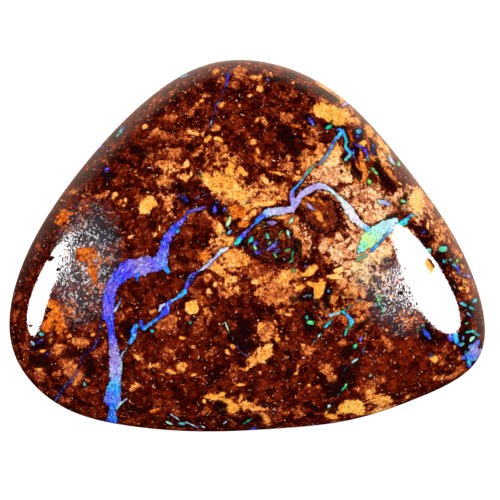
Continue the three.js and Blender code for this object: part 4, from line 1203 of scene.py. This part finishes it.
# %% [markdown]
# ## Light and floor
# A broad light straight above shows the colours evenly and stays out of the gloss. Two soft
# boxes show only in the gloss, as the two white windows on the dome's shoulders. The sky is dark
# above and pale low down towards the top of the picture, which gives the rim its haze. The floor
# glows a little, so that it stays white under the even light. It lies a hair above the flat back:
# the stone covers it there from above, and the back lies before it from below.

# %% Light the stone
LIGHT_DISTANCE = 0.5  # m
SKY_GLOW = 1.5
FLOOR_GLOW = 0.4
FLOOR_HALF = 0.6  # m from its middle to its sides
FLOOR_TOP = 0.02  # mm


def hang_light(name, bearing, elevation, wide, tall, watts, glossy):
    """An oval light that looks at the stone. Angles are in degrees, bearing from +X to +Y,
    and wide and tall are the angles that it fills as seen from the stone."""
    light = bpy.data.lights.new(name, "AREA")
    light.shape = "ELLIPSE"
    light.size = 2 * LIGHT_DISTANCE * math.tan(math.radians(wide / 2))
    light.size_y = 2 * LIGHT_DISTANCE * math.tan(math.radians(tall / 2))
    light.energy = watts
    lamp = put_in_scene(name, light)
    flat = LIGHT_DISTANCE * math.cos(math.radians(elevation))
    turn, rise = math.radians(bearing), LIGHT_DISTANCE * math.sin(math.radians(elevation))
    lamp.location = (flat * math.cos(turn), flat * math.sin(turn), rise)
    lamp.rotation_euler = lamp.location.to_track_quat("Z", "Y").to_euler()
    lamp.visible_glossy, lamp.visible_diffuse = glossy, not glossy


hang_light("overhead", bearing=90, elevation=90, wide=95, tall=95, watts=6.25, glossy=False)
hang_light("left_window", bearing=175, elevation=26.9, wide=34, tall=20.5, watts=5.9, glossy=True)
hang_light("right_window", bearing=5, elevation=41, wide=35, tall=28.5, watts=8.0, glossy=True)

world = bpy.data.worlds.new("sky")
bpy.context.scene.world = world
world.use_nodes = True
tree = world.node_tree
tree.nodes.clear()
way = add(tree, "SeparateXYZ", {0: add(tree, "TexCoord").outputs["Generated"]}).outputs
side = sum_of(tree, way["X"], 0.3, maths(tree, "MULTIPLY", way["Y"], 0.9))
glow = maths(tree, "MULTIPLY", edge(tree, way["Z"], 0.3, -0.3), edge(tree, side, -0.2, 0.7))
glow = maths(tree, "MULTIPLY", glow, SKY_GLOW)
sky = add(tree, "Background", {"Color": linear("#ffd6bc"), "Strength": glow})
add(tree, "OutputWorld", {"Surface": sky.outputs[0]})

floor_material, tree = start_material("pale_floor")
white = linear("#ffffff")
end_material(tree, {
    "Base Color": white, "Roughness": 0.9, "Specular IOR Level": 0.0,
    "Emission Color": white, "Emission Strength": FLOOR_GLOW,
})
floor_mesh = bpy.data.meshes.new("floor")
signs = ((-1, -1), (1, -1), (1, 1), (-1, 1))
corners = [(a * FLOOR_HALF, b * FLOOR_HALF, FLOOR_TOP * MM) for a, b in signs]
floor_mesh.from_pydata(corners, [], [(0, 1, 2, 3)])
floor_mesh.materials.append(floor_material)
floor = put_in_scene("floor", floor_mesh)
floor.visible_glossy = False

bpy.context.scene.view_settings.view_transform = "Standard"
bpy.context.scene.view_settings.look = "None"
print("three lights, a sky and a floor")

# %% [markdown]
# ## The end

# %% Finish
print("the end")
